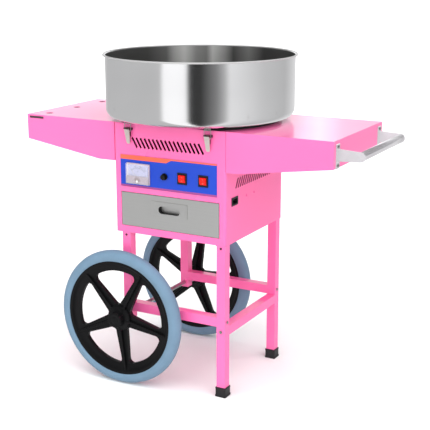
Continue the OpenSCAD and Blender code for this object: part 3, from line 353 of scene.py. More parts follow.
def round_edges(piece, width, steps=2):
    """Rounds the crisp edges of a piece."""
    edges = piece.modifiers.new("Rounded edges", "BEVEL")
    edges.width = width
    edges.segments = steps
    edges.limit_method = "ANGLE"
    edges.angle_limit = SMOOTH_BELOW
    edges.harden_normals = True


def fit(name, bm, body, material, nodes=(), edge=0.0):
    """Makes a piece from a bmesh, rides it on its body and hides the nodes that it stands for."""
    piece = bpy.data.objects.new(name, mesh_of(name, bm, crisp=not edge))
    bpy.context.scene.collection.objects.link(piece)
    piece.data.materials.append(material)
    if edge:
        round_edges(piece, edge)
    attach(piece, body)
    if nodes:
        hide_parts(*nodes)
    return piece


def dress(node, material, edge=0.0, steps=2):
    """Gives a node of the frame its finish, and rounds its edges."""
    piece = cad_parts[node]
    for place in piece.material_slots:
        place.material = material
    if edge:
        weld = piece.modifiers.new("Weld", "WELD")
        weld.merge_threshold = 0.001 * MM
        flats = piece.modifiers.new("Whole faces", "DECIMATE")
        flats.decimate_type = "DISSOLVE"
        flats.angle_limit = math.radians(0.3)
        round_edges(piece, edge, steps)


def solids_of(node):
    """Boxes of a node's separate solids, as pairs of lowest and highest corners."""
    bm = bmesh.new()
    bm.from_mesh(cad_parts[node].data)
    bmesh.ops.remove_doubles(bm, verts=bm.verts, dist=0.001 * MM)
    seen, boxes = set(), []
    for start in bm.verts:
        if start.index in seen:
            continue
        seen.add(start.index)
        group, waiting = [], [start]
        while waiting:
            corner = waiting.pop()
            group.append(tuple(corner.co))
            for edge in corner.link_edges:
                other = edge.other_vert(corner)
                if other.index not in seen:
                    seen.add(other.index)
                    waiting.append(other)
        points = np.array(group)
        boxes.append((Vector(points.min(0)), Vector(points.max(0))))
    bm.free()
    return boxes


# Finishes


def finish(name, rgb, roughness, metallic=0.0, **more):
    """A material with its plain values, and its shader."""
    material = bpy.data.materials.new(name)
    material.use_nodes = True
    shader = next(n for n in material.node_tree.nodes if n.type == "BSDF_PRINCIPLED")
    shader.inputs["Base Color"].default_value = (*rgb, 1.0)
    shader.inputs["Roughness"].default_value = roughness
    shader.inputs["Metallic"].default_value = metallic
    for socket, value in more.items():
        shader.inputs[socket.replace("_", " ")].default_value = value
    return material, shader


def add(material, kind, **values):
    """A new node of a material, with fields set."""
    node = material.node_tree.nodes.new(kind)
    for name, value in values.items():
        setattr(node, name, value)
    return node


def wire(material, source, target):
    """Links two sockets of a material."""
    material.node_tree.links.new(source, target)


def stretched(material, stretch=(1, 1, 1)):
    """The piece's own coordinates, stretched along its axes where asked."""
    place = add(material, "ShaderNodeTexCoord")
    scale = add(material, "ShaderNodeMapping")
    scale.inputs["Scale"].default_value = stretch
    wire(material, place.outputs["Object"], scale.inputs["Vector"])
    return scale.outputs["Vector"]


def about_axis(material, centre, rings, lengthwise):
    """Coordinates of distance from an upright axis and height, for lathe marks."""
    place = add(material, "ShaderNodeTexCoord")
    away = add(material, "ShaderNodeVectorMath", operation="SUBTRACT")
    away.inputs[1].default_value = centre
    flat = add(material, "ShaderNodeVectorMath", operation="MULTIPLY")
    flat.inputs[1].default_value = (1, 1, 0)
    distance = add(material, "ShaderNodeVectorMath", operation="LENGTH")
    parts = add(material, "ShaderNodeSeparateXYZ")
    both = add(material, "ShaderNodeCombineXYZ")
    scale = add(material, "ShaderNodeMapping")
    scale.inputs["Scale"].default_value = (rings, 0.0, lengthwise)
    wire(material, place.outputs["Object"], away.inputs[0])
    wire(material, away.outputs["Vector"], flat.inputs[0])
    wire(material, flat.outputs["Vector"], distance.inputs[0])
    wire(material, place.outputs["Object"], parts.inputs["Vector"])
    wire(material, distance.outputs["Value"], both.inputs["X"])
    wire(material, parts.outputs["Z"], both.inputs["Z"])
    wire(material, both.outputs["Vector"], scale.inputs["Vector"])
    return scale.outputs["Vector"]


def grain(material, vector, scale, detail=3.0, roughness=0.55):
    """Noise that follows the given coordinates."""
    noise = add(material, "ShaderNodeTexNoise")
    noise.inputs["Scale"].default_value = scale
    noise.inputs["Detail"].default_value = detail
    noise.inputs["Roughness"].default_value = roughness
    wire(material, vector, noise.inputs["Vector"])
    return noise.outputs["Fac"]


def lathe_marks(material, node, rings, lengthwise, detail, roughness):
    """Fine marks round a node's upright axis."""
    rounds = about_axis(material, tuple(middle(node)), rings, lengthwise)
    return grain(material, rounds, 1.0, detail, roughness)


def shade_by(material, shader, source, dark, light):
    """Base colour from a grain, between two colours."""
    ramp = add(material, "ShaderNodeValToRGB")
    ramp.color_ramp.elements[0].position = GRAIN_FROM
    ramp.color_ramp.elements[0].color = (*dark, 1.0)
    ramp.color_ramp.elements[1].position = GRAIN_TO
    ramp.color_ramp.elements[1].color = (*light, 1.0)
    wire(material, source, ramp.inputs["Fac"])
    wire(material, ramp.outputs["Color"], shader.inputs["Base Color"])


def roughen_by(material, shader, source, smoothest, roughest):
    """Roughness from a grain, between two values."""
    spread = add(material, "ShaderNodeMapRange")
    spread.inputs["From Min"].default_value = GRAIN_FROM
    spread.inputs["From Max"].default_value = GRAIN_TO
    spread.inputs["To Min"].default_value = smoothest
    spread.inputs["To Max"].default_value = roughest
    wire(material, source, spread.inputs["Value"])
    wire(material, spread.outputs["Result"], shader.inputs["Roughness"])


def relief(material, shader, source, height, strength=1.0, under=None):
    """Fine surface height from a grain."""
    bump = add(material, "ShaderNodeBump")
    bump.inputs["Distance"].default_value = height
    bump.inputs["Strength"].default_value = strength
    wire(material, source, bump.inputs["Height"])
    if under:
        wire(material, under, bump.inputs["Normal"])
    wire(material, bump.outputs["Normal"], shader.inputs["Normal"])


def fill_ramp(ramp, stops, blue):
    """Fills a ramp with greys by direction in degrees, their blue raised or lowered a little."""
    elements = ramp.color_ramp.elements
    while len(elements) > 1:
        elements.remove(elements[-1])
    for i, (degrees, tone) in enumerate(stops):
        place = (degrees + 180) / 360
        stop = elements[0] if i == 0 else elements.new(place)
        stop.position = place
        stop.color = (tone, tone, tone * blue, 1.0)


def tones(rgb, spread):
    """A darker and a lighter tone of a colour."""
    return tuple(c * (1 - spread) for c in rgb), tuple(min(1.0, c * (1 + spread)) for c in rgb)


def finished(name, make):
    """The finish of that name, made the first time it is wanted."""
    return bpy.data.materials.get(name) or make(name)


def pink_powder_coat(name):
    """Pink powder coat with its orange peel."""
    paint = bpy.context.scene.cart_paint
    material, shader = finish(
        name, paint.pink, paint.pink_roughness, Coat_Weight=0.6, Coat_Roughness=0.05
    )
    plain = stretched(material)
    drift = grain(material, plain, 2.2, 2.0)
    shade_by(material, shader, drift, *tones(paint.pink, 0.035))
    peel = grain(material, plain, 420.0, 2.0)
    roughen_by(material, shader, drift, paint.pink_roughness - 0.05, paint.pink_roughness + 0.06)
    relief(material, shader, peel, 0.05 * MM, 0.35)
    return material


def vented_coat(name, along):
    """The powder coat, with painted deep shade on the cut walls of leaning slots.

    The walls are found by their slant: they face along the panel and up or down at once.
    """
    material = pink_powder_coat(name)
    shader = next(n for n in material.node_tree.nodes if n.type == "BSDF_PRINCIPLED")
    place = add(material, "ShaderNodeTexCoord")
    parts = add(material, "ShaderNodeSeparateXYZ")
    slant = add(material, "ShaderNodeMath", operation="MULTIPLY")
    size = add(material, "ShaderNodeMath", operation="ABSOLUTE")
    mask = add(material, "ShaderNodeMapRange")
    mask.inputs["From Min"].default_value = 0.08
    mask.inputs["From Max"].default_value = 0.24
    # Painted shade: the slot walls turn dark maroon in the base colour
    shade = add(material, "ShaderNodeMix", data_type="RGBA")
    shade.inputs["B"].default_value = (0.20, 0.010, 0.055, 1.0)
    coat = shader.inputs["Base Color"].links[0].from_socket
    wire(material, place.outputs["Normal"], parts.inputs["Vector"])
    wire(material, parts.outputs[along], slant.inputs[0])
    wire(material, parts.outputs["Z"], slant.inputs[1])
    wire(material, slant.outputs["Value"], size.inputs[0])
    wire(material, size.outputs["Value"], mask.inputs["Value"])
    wire(material, mask.outputs["Result"], shade.inputs["Factor"])
    wire(material, coat, shade.inputs["A"])
    wire(material, shade.outputs["Result"], shader.inputs["Base Color"])
    return material


def printed_enamel(name, rgb):
    """Smooth printed colour of the control panel."""
    material, shader = finish(name, rgb, 0.3, Coat_Weight=0.2, Coat_Roughness=0.2)
    plain = stretched(material)
    drift = grain(material, plain, 9.0, 3.0)
    shade_by(material, shader, drift, *tones(rgb, 0.04))
    roughen_by(material, shader, drift, 0.26, 0.38)
    relief(material, shader, grain(material, plain, 900.0, 2.0), 0.02 * MM, 0.3)
    return material


def brushed_metal(name, rgb, roughness, stretch, spread=0.06, metallic=1.0):
    """Rolled or brushed metal, with its brush lines along the least stretched axis."""
    material, shader = finish(name, rgb, roughness, metallic)
    lines = grain(material, stretched(material, stretch), 1.0, 4.0, 0.7)
    shade_by(material, shader, lines, *tones(rgb, spread))
    roughen_by(material, shader, lines, roughness * 0.8, roughness * 1.3)
    relief(material, shader, lines, 0.01 * MM, 0.4)
    return material


def bowl_steel(name):
    """Polished spun steel of the bowl, with lathe marks."""
    bowl = bpy.context.scene.cart_bowl
    material, shader = finish(name, bowl.steel, bowl.roughness, 1.0)
    marks = lathe_marks(material, "bowl", 900.0, 1400.0, 3.0, 0.7)
    clouds = grain(material, stretched(material, (3, 3, 5)), 1.0, 2.0)
    shade_by(material, shader, clouds, *tones(bowl.steel, 0.05))
    roughen_by(material, shader, marks, bowl.roughness * 0.75, bowl.roughness * 1.3)
    swell = add(material, "ShaderNodeBump")
    swell.inputs["Distance"].default_value = 3.0 * MM
    swell.inputs["Strength"].default_value = 0.12
    wire(material, clouds, swell.inputs["Height"])
    relief(material, shader, marks, 0.01 * MM, 0.3, under=swell.outputs["Normal"])
    return material


# Painted reflection inside the bowl by its direction from the axis, in degrees: broad light and
# dark wedges in the base colour stand in for the room mirrored in the round wall
PAINTED_INSIDE_REFLECTION = (
    (-180, 0.06),
    (-84, 0.06),
    (-70, 0.30),
    (-52, 0.40),
    (-40, 0.08),
    (74, 0.05),
    (86, 0.18),
    (97, 0.06),
    (103, 0.25),
    (111, 0.45),
    (115, 0.18),
    (122, 0.22),
    (130, 0.50),
    (137, 0.32),
    (142, 0.12),
    (156, 0.06),
)


def bowl_inside(name):
    """The same steel inside the bowl, with painted reflection: light and dark wedges in its colour
    by direction round its axis.
    """
    material, shader = finish(name, (0.5, 0.5, 0.5), 0.34, 0.4)
    place = add(material, "ShaderNodeTexCoord")
    away = add(material, "ShaderNodeVectorMath", operation="SUBTRACT")
    away.inputs[1].default_value = tuple(middle("bowl"))
    # Painted reflection: the base colour follows the direction round the bowl's axis
    round_about = add(material, "ShaderNodeTexGradient", gradient_type="RADIAL")
    ramp = add(material, "ShaderNodeValToRGB")
    fill_ramp(ramp, PAINTED_INSIDE_REFLECTION, 0.98)
    wire(material, place.outputs["Object"], away.inputs[0])
    wire(material, away.outputs["Vector"], round_about.inputs["Vector"])
    wire(material, round_about.outputs["Fac"], ramp.inputs["Fac"])
    wire(material, ramp.outputs["Color"], shader.inputs["Base Color"])
    marks = lathe_marks(material, "bowl", 900.0, 1400.0, 3.0, 0.7)
    roughen_by(material, shader, marks, 0.28, 0.42)
    relief(material, shader, marks, 0.01 * MM, 0.3)
    return material


def turned_metal(name, rgb, roughness, node, metallic=1.0):
    """Metal turned on a lathe about the node's upright axis."""
    material, shader = finish(name, rgb, roughness, metallic)
    marks = lathe_marks(material, node, 1500.0, 900.0, 2.0, 0.6)
    shade_by(material, shader, marks, *tones(rgb, 0.09))
    roughen_by(material, shader, marks, roughness * 0.8, roughness * 1.3)
    relief(material, shader, marks, 0.02 * MM, 0.5)
    return material


def chrome_plate(name):
    """Bright plating."""
    metal = bpy.context.scene.cart_metal
    material, shader = finish(name, metal.chrome, 0.16, 0.82)
    plain = stretched(material)
    haze = grain(material, plain, 26.0, 4.0)
    shade_by(material, shader, haze, *tones(metal.chrome, 0.04))
    roughen_by(material, shader, haze, 0.12, 0.24)
    return material


def zinc_plate(name):
    """Zinc of screws, bolts and brackets."""
    material, shader = finish(name, (0.62, 0.62, 0.60), 0.35, 1.0)
    plain = stretched(material)
    spangle = grain(material, plain, 70.0, 4.0)
    shade_by(material, shader, spangle, (0.50, 0.50, 0.50), (0.70, 0.70, 0.68))
    roughen_by(material, shader, spangle, 0.26, 0.46)
    return material


def moulded_plastic(name, rgb, roughness, texture=500.0, shine=0.45):
    """Moulded plastic with a fine spark-eroded texture."""
    material, shader = finish(name, rgb, roughness, Specular_IOR_Level=shine)
    plain = stretched(material)
    drift = grain(material, plain, 14.0, 3.0)
    shade_by(material, shader, drift, *tones(rgb, 0.10))
    roughen_by(material, shader, drift, roughness * 0.88, roughness * 1.12)
    relief(material, shader, grain(material, plain, texture, 2.0), 0.05 * MM, 0.35)
    return material


def solid_rubber(name, rgb, roughness):
    """Solid rubber, slightly chalky, with dust where it rolls."""
    material, shader = finish(name, rgb, roughness, Specular_IOR_Level=0.35, Sheen_Weight=0.06)
    plain = stretched(material)
    chalk = grain(material, plain, 18.0, 5.0, 0.6)
    shade_by(material, shader, chalk, *tones(rgb, 0.07))
    roughen_by(material, shader, chalk, roughness * 0.9, roughness * 1.12)
    relief(material, shader, grain(material, plain, 700.0, 3.0), 0.08 * MM, 0.4)
    return material


def clear_moulding(name):
    """Clear cover of the voltmeter."""
    material, shader = finish(name, (0.96, 0.97, 1.0), 0.07, Alpha=0.16, Specular_IOR_Level=0.6)
    haze = grain(material, stretched(material), 60.0, 3.0)
    roughen_by(material, shader, haze, 0.05, 0.12)
    return material


def matt_card(name):
    """Printed card of the dial."""
    material, shader = finish(name, (0.31, 0.32, 0.56), 0.7)
    fibre = grain(material, stretched(material), 350.0, 4.0)
    shade_by(material, shader, fibre, (0.29, 0.30, 0.54), (0.33, 0.34, 0.58))
    return material


def ink(name, rgb):
    """Flat printing ink."""
    material, shader = finish(name, rgb, 0.55)
    film = grain(material, stretched(material), 600.0, 2.0)
    shade_by(material, shader, film, *tones(rgb, 0.08))
    return material


def pink():
    """The powder coat, made once."""
    return finished("Pink powder coat", pink_powder_coat)


def drawer_steel():
    """Brushed steel of the drawer, made once."""
    tint = bpy.context.scene.cart_metal.sheet
    return finished("Drawer steel", lambda n: brushed_metal(n, tint, 0.42, (6, 500, 700), 0.03))


def plain_steel():
    """Brushed steel of small pieces, made once."""
    return finished(
        "Plain steel", lambda n: brushed_metal(n, (0.58, 0.57, 0.55), 0.3, (300, 300, 12))
    )


def galvanised():
    """Zinc plate, made once."""
    return finished("Zinc plate", zinc_plate)


def chrome():
    """Chrome plate, made once."""
    return finished("Chrome plate", chrome_plate)


def black_plastic():
    """Black plastic of small mouldings, made once."""
    return finished("Black plastic", lambda n: moulded_plastic(n, (0.008, 0.008, 0.009), 0.34))


def black_rubber():
    """Black rubber of the feet, and of the black mat of painted shadow under the bowl, made once.
    """
    return finished("Black rubber", lambda n: solid_rubber(n, (0.014, 0.014, 0.015), 0.6))


def wheel_plastic():
    """Black plastic of the wheels, made once."""
    tint = bpy.context.scene.cart_wheels.moulding
    return finished("Wheel plastic", lambda n: moulded_plastic(n, tint, 0.42, 300.0, 0.22))


# The pieces


class CART_OT_cabinet(bpy.types.Operator):
    """Paint the cabinet's sheets and shelves and round their folded edges"""

    bl_idname = "cart.cabinet"
    bl_label = "Cabinet and shelves"

    def execute(self, context):
        edge = context.scene.cart_paint.edge
        # The slot walls of front and sides carry painted shade
        front = finished("Vented front coat", lambda n: vented_coat(n, "X"))
        sides = finished("Vented side coat", lambda n: vented_coat(n, "Y"))
        dress("cabinet_front", front, edge)
        dress("cabinet_left_side", sides, edge)
        dress("cabinet_right_side", sides, edge)
        for node in (
            "cabinet_rear",
            "cabinet_top",
            "cabinet_floor",
            "left_shelf",
            "right_shelf",
            "divider_plate",
        ):
            dress(node, pink(), edge)
        for node in ("cabinet_top", "left_shelf", "right_shelf"):
            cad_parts[node].visible_glossy = False
        lowest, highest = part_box("left_shelf")
        # Painted shade: dark maroon cups in the stick holes stand in for the shade inside them
        shade = finished("Stick hole shade", lambda n: moulded_plastic(n, (0.05, 0.008, 0.022), 0.5))
        cups = []
        # The cups' flanges begin inside the shelf's sheet
        spacing, inset, deep = 127 * MM, 45 * MM, 26 * MM
        under, r = highest.z - 1.2 * MM, 10 * MM
        for y in (-spacing, 0.0, spacing):
            cup = [(r + 2.4 * MM, under), (r + 2.4 * MM, under - 1.2 * MM)]
            cup += [(r + 1.2 * MM, under - 1.2 * MM), (r + 0.4 * MM, under - deep)]
            cup += [(0.3 * MM, under - deep), (0.3 * MM, under - deep + 1.2 * MM)]
            cup += [(r - 0.8 * MM, under - deep + 1.2 * MM), (r, under - 0.4 * MM)]
            cup.append((r + 0.2 * MM, under))
            cups.append(moved(turned(cup, 32), at(lowest.x + inset, y, 0)))
        fit("stick_hole_shade", joined(*cups), ROOT, shade).visible_glossy = False
        dress("blank_plate", finished("Dark plate", lambda n: ink(n, (0.06, 0.035, 0.045))))
        return {"FINISHED"}


class CART_OT_legs(bpy.types.Operator):
    """Paint the square tubes of the underframe and mould its rubber feet"""

    bl_idname = "cart.legs"
    bl_label = "Legs, bars and feet"

    def execute(self, context):
        paint = context.scene.cart_paint
        for node in ("long_legs", "short_legs", "cross_bars", "side_bar"):
            dress(node, pink(), paint.tube_edge / 2)
        feet = []
        for lowest, highest in solids_of("rubber_feet"):
            centre = (lowest + highest) / 2
            side = highest.x - lowest.x
            tall = highest.z - lowest.z
            rows = [
                (0.0, side - 1.6 * MM, 2.2 * MM),
                (0.4 * MM, side - 0.5 * MM, 2.4 * MM),
                (1.2 * MM, side, 2.5 * MM),
                (4.8 * MM, side, 2.5 * MM),
                (5.8 * MM, side - 0.7 * MM, 2.4 * MM),
                (6.6 * MM, side - 2.2 * MM, 2.2 * MM),
                (tall - 5.0 * MM, side - 2.2 * MM, 2.2 * MM),
                (tall - 4.2 * MM, side - 1.2 * MM, 2.4 * MM),
                (tall - 0.8 * MM, side - 1.2 * MM, 2.4 * MM),
                (tall, side - 2.4 * MM, 2.2 * MM),
            ]
            hollow = [(tall, 25.4 * MM, 1.0 * MM), (4.0 * MM, 25.4 * MM, 1.0 * MM)]
            loops = [(z, rounded_box(w, w, r, 4)) for z, w, r in rows + hollow]
            feet.append(moved(stacked(loops), at(centre.x, centre.y, 0)))
        fit("feet", joined(*feet), ROOT, black_rubber(), ["rubber_feet"])
        return {"FINISHED"}


class CART_OT_bowl(bpy.types.Operator):
    """Spin the bowl with its rolled rim, and finish its pads and catches"""

    bl_idname = "cart.bowl"
    bl_label = "Bowl"

    def execute(self, context):
        settings = context.scene.cart_bowl
        lowest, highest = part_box("bowl")
        tall = highest.z - lowest.z
        rim = (highest.x - lowest.x) / 2
        bead = 2.2 * MM
        wall = rim - 7 * MM
        r = settings.bend
        hole = 30 * MM
        under = tall - bead - GAUGE / 2
        outside = bend(wall - r, r, r, 270, 360, 14)
        inside = bend(wall - r, r, r - GAUGE, 360, 270, 14)
        meets = math.degrees(math.asin(GAUGE / 2 / bead))
        flange = (
            bend(wall + MM, under - MM, MM, 180, 90, 4)
            + bend(rim - bead, tall - bead, bead, 180 + meets, 540 - meets, 18)
            + bend(wall + MM, under - MM, MM + GAUGE, 90, 180, 6)
        )
        sheet = (
            [(hole + 2.4 * MM, 0.0), (hole + 60 * MM, 0.0), (hole + 64 * MM, 0.6 * MM)]
            + [(hole + 68 * MM, 0.0)]
            + outside
            + [(wall, tall * s) for s in (0.4, 0.6, 0.8)]
            + flange
            + [(wall - GAUGE, tall * s) for s in (0.8, 0.6, 0.4)]
            + inside
            + [(hole + 68 * MM, GAUGE), (hole + 64 * MM, GAUGE + 0.6 * MM)]
            + [(hole + 60 * MM, GAUGE), (hole + 4 * MM, GAUGE), (hole + GAUGE + 1.2 * MM, 2 * MM)]
            + [(hole + GAUGE, 3.4 * MM), (hole + GAUGE, 12 * MM), (hole, 12 * MM)]
            + [(hole, 2.4 * MM), (hole + 0.7 * MM, 0.7 * MM)]
        )
        bm = turned(sheet, BOWL_SEGMENTS)
        place = middle("bowl")
        moved(bm, at(place.x, place.y, lowest.z))
        steel = finished("Spun bowl steel", bowl_steel)
        shell = fit("spun_bowl", bm, ROOT, steel, ["bowl"])
        # Painted shade: the rim and flange take a darker copy of the bowl steel
        painted_shade_rim = finished("Rolled rim in painted shade", lambda n: turned_metal(n, settings.rim, 0.35, "bowl", 0.5))
        shell.data.materials.append(painted_shade_rim)
        shell.data.materials.append(finished("Bowl inside", bowl_inside))
        # Rim faces take the painted shade, the inward faces of the wall the painted reflection
        for face in shell.data.polygons:
            out = math.hypot(face.center.x - place.x, face.center.y - place.y)
            above = face.center.z - lowest.z
            if out > wall + 0.3 * MM:
                face.material_index = 1
            elif out < wall - GAUGE / 2 and 0.3 * r < above < under - MM and out > wall - r:
                inward = face.normal.x * (place.x - face.center.x)
                inward += face.normal.y * (place.y - face.center.y)
                face.material_index = 2 if inward > 0 else 0
        dress("bowl_catches", plain_steel(), 0.3 * MM)
        pads = []
        for low_corner, high_corner in solids_of("bowl_pads"):
            centre = (low_corner + high_corner) / 2
            radius = (high_corner.x - low_corner.x) / 2
            height = high_corner.z - low_corner.z
            profile = [(2 * MM, 0), (radius - 1 * MM, 0), (radius, 1 * MM)]
            profile += [(radius - 1.2 * MM, height / 2), (radius, height - 1 * MM)]
            profile += [(radius - 1 * MM, height), (2 * MM, height)]
            pads.append(moved(turned(profile, 32), at(centre.x, centre.y, low_corner.z)))
        fit("pads", joined(*pads), ROOT, black_rubber(), ["bowl_pads"])
        # Painted shadow: a thin black mat on the cabinet top stands in for the shade under the
        # bowl's edge
        deep = (high("cabinet_rear").y - low("cabinet_front").y) / 2 - 1 * MM
        edge = [(x, max(-deep, min(deep, y))) for x, y in ring(settings.mat, 180)]
        shadow_sheet = cut_sheet(outline_round(edge), [ring(34 * MM, 60)], 0.0, 0.4 * MM)
        moved(shadow_sheet, at(place.x, place.y, high("cabinet_top").z))
        fit("painted_shadow_mat", shadow_sheet, ROOT, black_rubber())
        return {"FINISHED"}


class CART_OT_spinner(bpy.types.Operator):
    """Finish the spinning head, with its slotted band, lid and lid screws"""

    bl_idname = "cart.spinner"
    bl_label = "Spinning head"

    def execute(self, context):
        bright = finished(
            "Turned aluminium", lambda n: turned_metal(n, (0.74, 0.75, 0.77), 0.26, "spinner_lid")
        )
        dress("spinner_base", bright, 0.4 * MM)
        dress("spinner_band", bright, 0.1 * MM)
        oxide = finished(
            "Heating band", lambda n: turned_metal(n, (0.3, 0.2, 0.15), 0.5, "spinner_lid")
        )
        dress("heating_element", oxide, 0.2 * MM)
        lowest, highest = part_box("spinner_lid")
        radius = (highest.x - lowest.x) / 2
        thick = highest.z - lowest.z
        hole = 20 * MM
        profile = [(hole, 0), (radius - 0.6 * MM, 0), (radius, 0.6 * MM)]
        profile += [(radius, thick - 0.8 * MM), (radius - 0.8 * MM, thick)]
        profile += [(radius - 9 * MM, thick), (radius - 9.6 * MM, thick - 0.5 * MM)]
        profile += [(radius - 10.6 * MM, thick - 0.5 * MM), (radius - 11.2 * MM, thick)]
        profile += [(hole + 3 * MM, thick), (hole + 0.6 * MM, thick - 0.9 * MM), (hole, 1 * MM)]
        centre = middle("spinner_lid")
        lid = moved(turned(profile, 96), at(centre.x, centre.y, lowest.z))
        fit("lid", lid, "spinner", bright, ["spinner_lid"])
        heads = []
        for x, y in ring(radius - 16 * MM, 3):
            heads.append(moved(screw_head(2.8 * MM, 0.6 * MM), at(x, y, 0)))
        screws = moved(joined(*heads), at(centre.x, centre.y, highest.z - 0.6 * MM))
        fit("lid_screws", screws, "spinner", galvanised())
        return {"FINISHED"}


class CART_OT_works(bpy.types.Operator):
    """Finish the motor with its cooling ribs, shaft, slip rings and brushes"""

    bl_idname = "cart.works"
    bl_label = "Motor and slip rings"

    def execute(self, context):
        lacquer = finished("Motor lacquer", lambda n: moulded_plastic(n, (0.03, 0.032, 0.034), 0.4))
        dress("motor", lacquer, 0.6 * MM)
        centre = middle("motor")
        fins = []
        out, count, foot, top = 45 * MM, 24, 8 * MM, 80 * MM
        for x, y in ring(out, count):
            outline = rounded_box(4 * MM, 1.6 * MM, 0.5 * MM, 2)
            blade = stacked([(foot, outline), (top, outline)])
            turn = Matrix.Rotation(math.atan2(y, x), 4, "Z")
            fins.append(moved(blade, at(x, y, 0) @ turn))
        fins = moved(joined(*fins), at(centre.x, centre.y, low("motor").z))
        fit("motor_fins", fins, ROOT, lacquer)
        dress("motor_standoffs", black_rubber(), 0.6 * MM)
        dress("motor_shaft", plain_steel(), 0.4 * MM)
        brass = finished(
            "Turned brass", lambda n: turned_metal(n, (0.75, 0.52, 0.22), 0.28, "motor")
        )
        dress("slip_rings", brass, 0.2 * MM)
        resin = finished("Brown resin", lambda n: moulded_plastic(n, (0.09, 0.035, 0.015), 0.42))
        dress("brush_holder", resin, 0.4 * MM)
        return {"FINISHED"}


def band_outline(width, top, band, strip):
    """Outline of the orange band, high on the left and narrow on the right."""
    left = -width / 2
    return [
        (left, top),
        (left, top - band),
        (-4 * MM, top - band),
        (11 * MM, top - strip),
        (width / 2, top - strip),
        (width / 2, top),
    ]


class CART_OT_panel(bpy.types.Operator):
    """Cut the control panel, print its blue field and orange band, and paint shade as a violet line
    along its lower edge
    """

    bl_idname = "cart.panel"
    bl_label = "Control panel"

    def execute(self, context):
        settings = context.scene.cart_panel
        lowest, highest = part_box("control_panel")
        centre = middle("control_panel")
        width, height = highest.x - lowest.x, highest.z - lowest.z
        film = 0.15 * MM
        back = highest.y - centre.y
        front = centre.y - lowest.y
        meter, fuse = middle("meter_case"), middle("fuse_holder")
        meter_hole, fuse_hole = 24 * MM, 8 * MM
        holes = [
            ring(meter_hole, 48, meter.x - centre.x, meter.z - centre.z),
            ring(fuse_hole, 32, fuse.x - centre.x, fuse.z - centre.z),
        ]
        switch_hole = rounded_box(24 * MM, 26 * MM, 1 * MM, 2)
        for low_corner, high_corner in solids_of("switch_bezels"):
            x = (low_corner.x + high_corner.x) / 2 - centre.x
            z = (low_corner.z + high_corner.z) / 2 - centre.z
            holes.append([(x + px, z + py) for px, py in switch_hole])
        place = at(*centre) @ FACING_FRONT
        sheet = cut_sheet(rounded_box(width, height, 1.0 * MM), holes, -back, front - film)
        blue = finished("Panel blue", lambda n: printed_enamel(n, settings.blue))
        panel = fit(
            "panel_sheet", moved(sheet, place), ROOT, blue, ["control_panel"], 0.2 * MM
        )
        orange = finished("Panel orange", lambda n: printed_enamel(n, settings.orange))
        margin = 0.1 * MM
        top = height / 2 - margin
        outline = band_outline(width - 2 * margin, top, settings.band, settings.strip)
        band = cut_sheet(outline, [], front - film, front)
        fit("orange_band", moved(band, place), ROOT, orange)
        # Painted shade: a violet strip along the lower edge stands in for the shaded ledge below
        # the panel
        violet = finished("Panel violet", lambda n: printed_enamel(n, settings.violet))
        line_height = 5.5 * MM
        under, half = margin - height / 2, width / 2 - margin
        over = under + line_height
        outline = [(-half, under), (half, under), (half, over), (-half, over)]
        line = cut_sheet(outline, [], front - film, front)
        fit("painted_ledge_shade", moved(line, place), ROOT, violet)
        panel.visible_glossy = False
        return {"FINISHED"}


def stroke(points, width, bottom, top):
    """A flat ink line along two points."""
    (ax, ay), (bx, by) = points
    length_of = math.hypot(bx - ax, by - ay)
    nx, ny = -(by - ay) / length_of * width / 2, (bx - ax) / length_of * width / 2
    outline = [(ax + nx, ay + ny), (bx + nx, by + ny), (bx - nx, by - ny), (ax - nx, ay - ny)]
    return cut_sheet(outline, [], bottom, top)


# Strokes of the plain figures on the dial, on a grid of two by four
FIGURES = {
    "0": [((0, 0), (2, 0)), ((2, 0), (2, 4)), ((2, 4), (0, 4)), ((0, 4), (0, 0))],
    "1": [((1, 0), (1, 4)), ((0, 3), (1, 4))],
    "2": [((0, 4), (2, 4)), ((2, 4), (2, 2)), ((2, 2), (0, 2)), ((0, 2), (0, 0)), ((0, 0), (2, 0))],
    "3": [((0, 4), (2, 4)), ((2, 4), (2, 0)), ((0, 2), (2, 2)), ((0, 0), (2, 0))],
    "5": [((2, 4), (0, 4)), ((0, 4), (0, 2)), ((0, 2), (2, 2)), ((2, 2), (2, 0)), ((2, 0), (0, 0))],
}


def figures(text, x, y, size, turn, bottom, top):
    """Plain figures about a point, turned to follow the scale."""
    parts = []
    step = size * 0.75
    for i, letter in enumerate(text):
        shift = (i - (len(text) - 1) / 2) * step
        for line in FIGURES[letter]:
            ends = []
            for px, py in line:
                lx, ly = shift + (px - 1) * size / 4, (py - 2) * size / 4
                ends.append(
                    (
                        x + lx * math.cos(turn) - ly * math.sin(turn),
                        y + lx * math.sin(turn) + ly * math.cos(turn),
                    )
                )
            parts.append(stroke(ends, size * 0.16, bottom, top))
    return parts


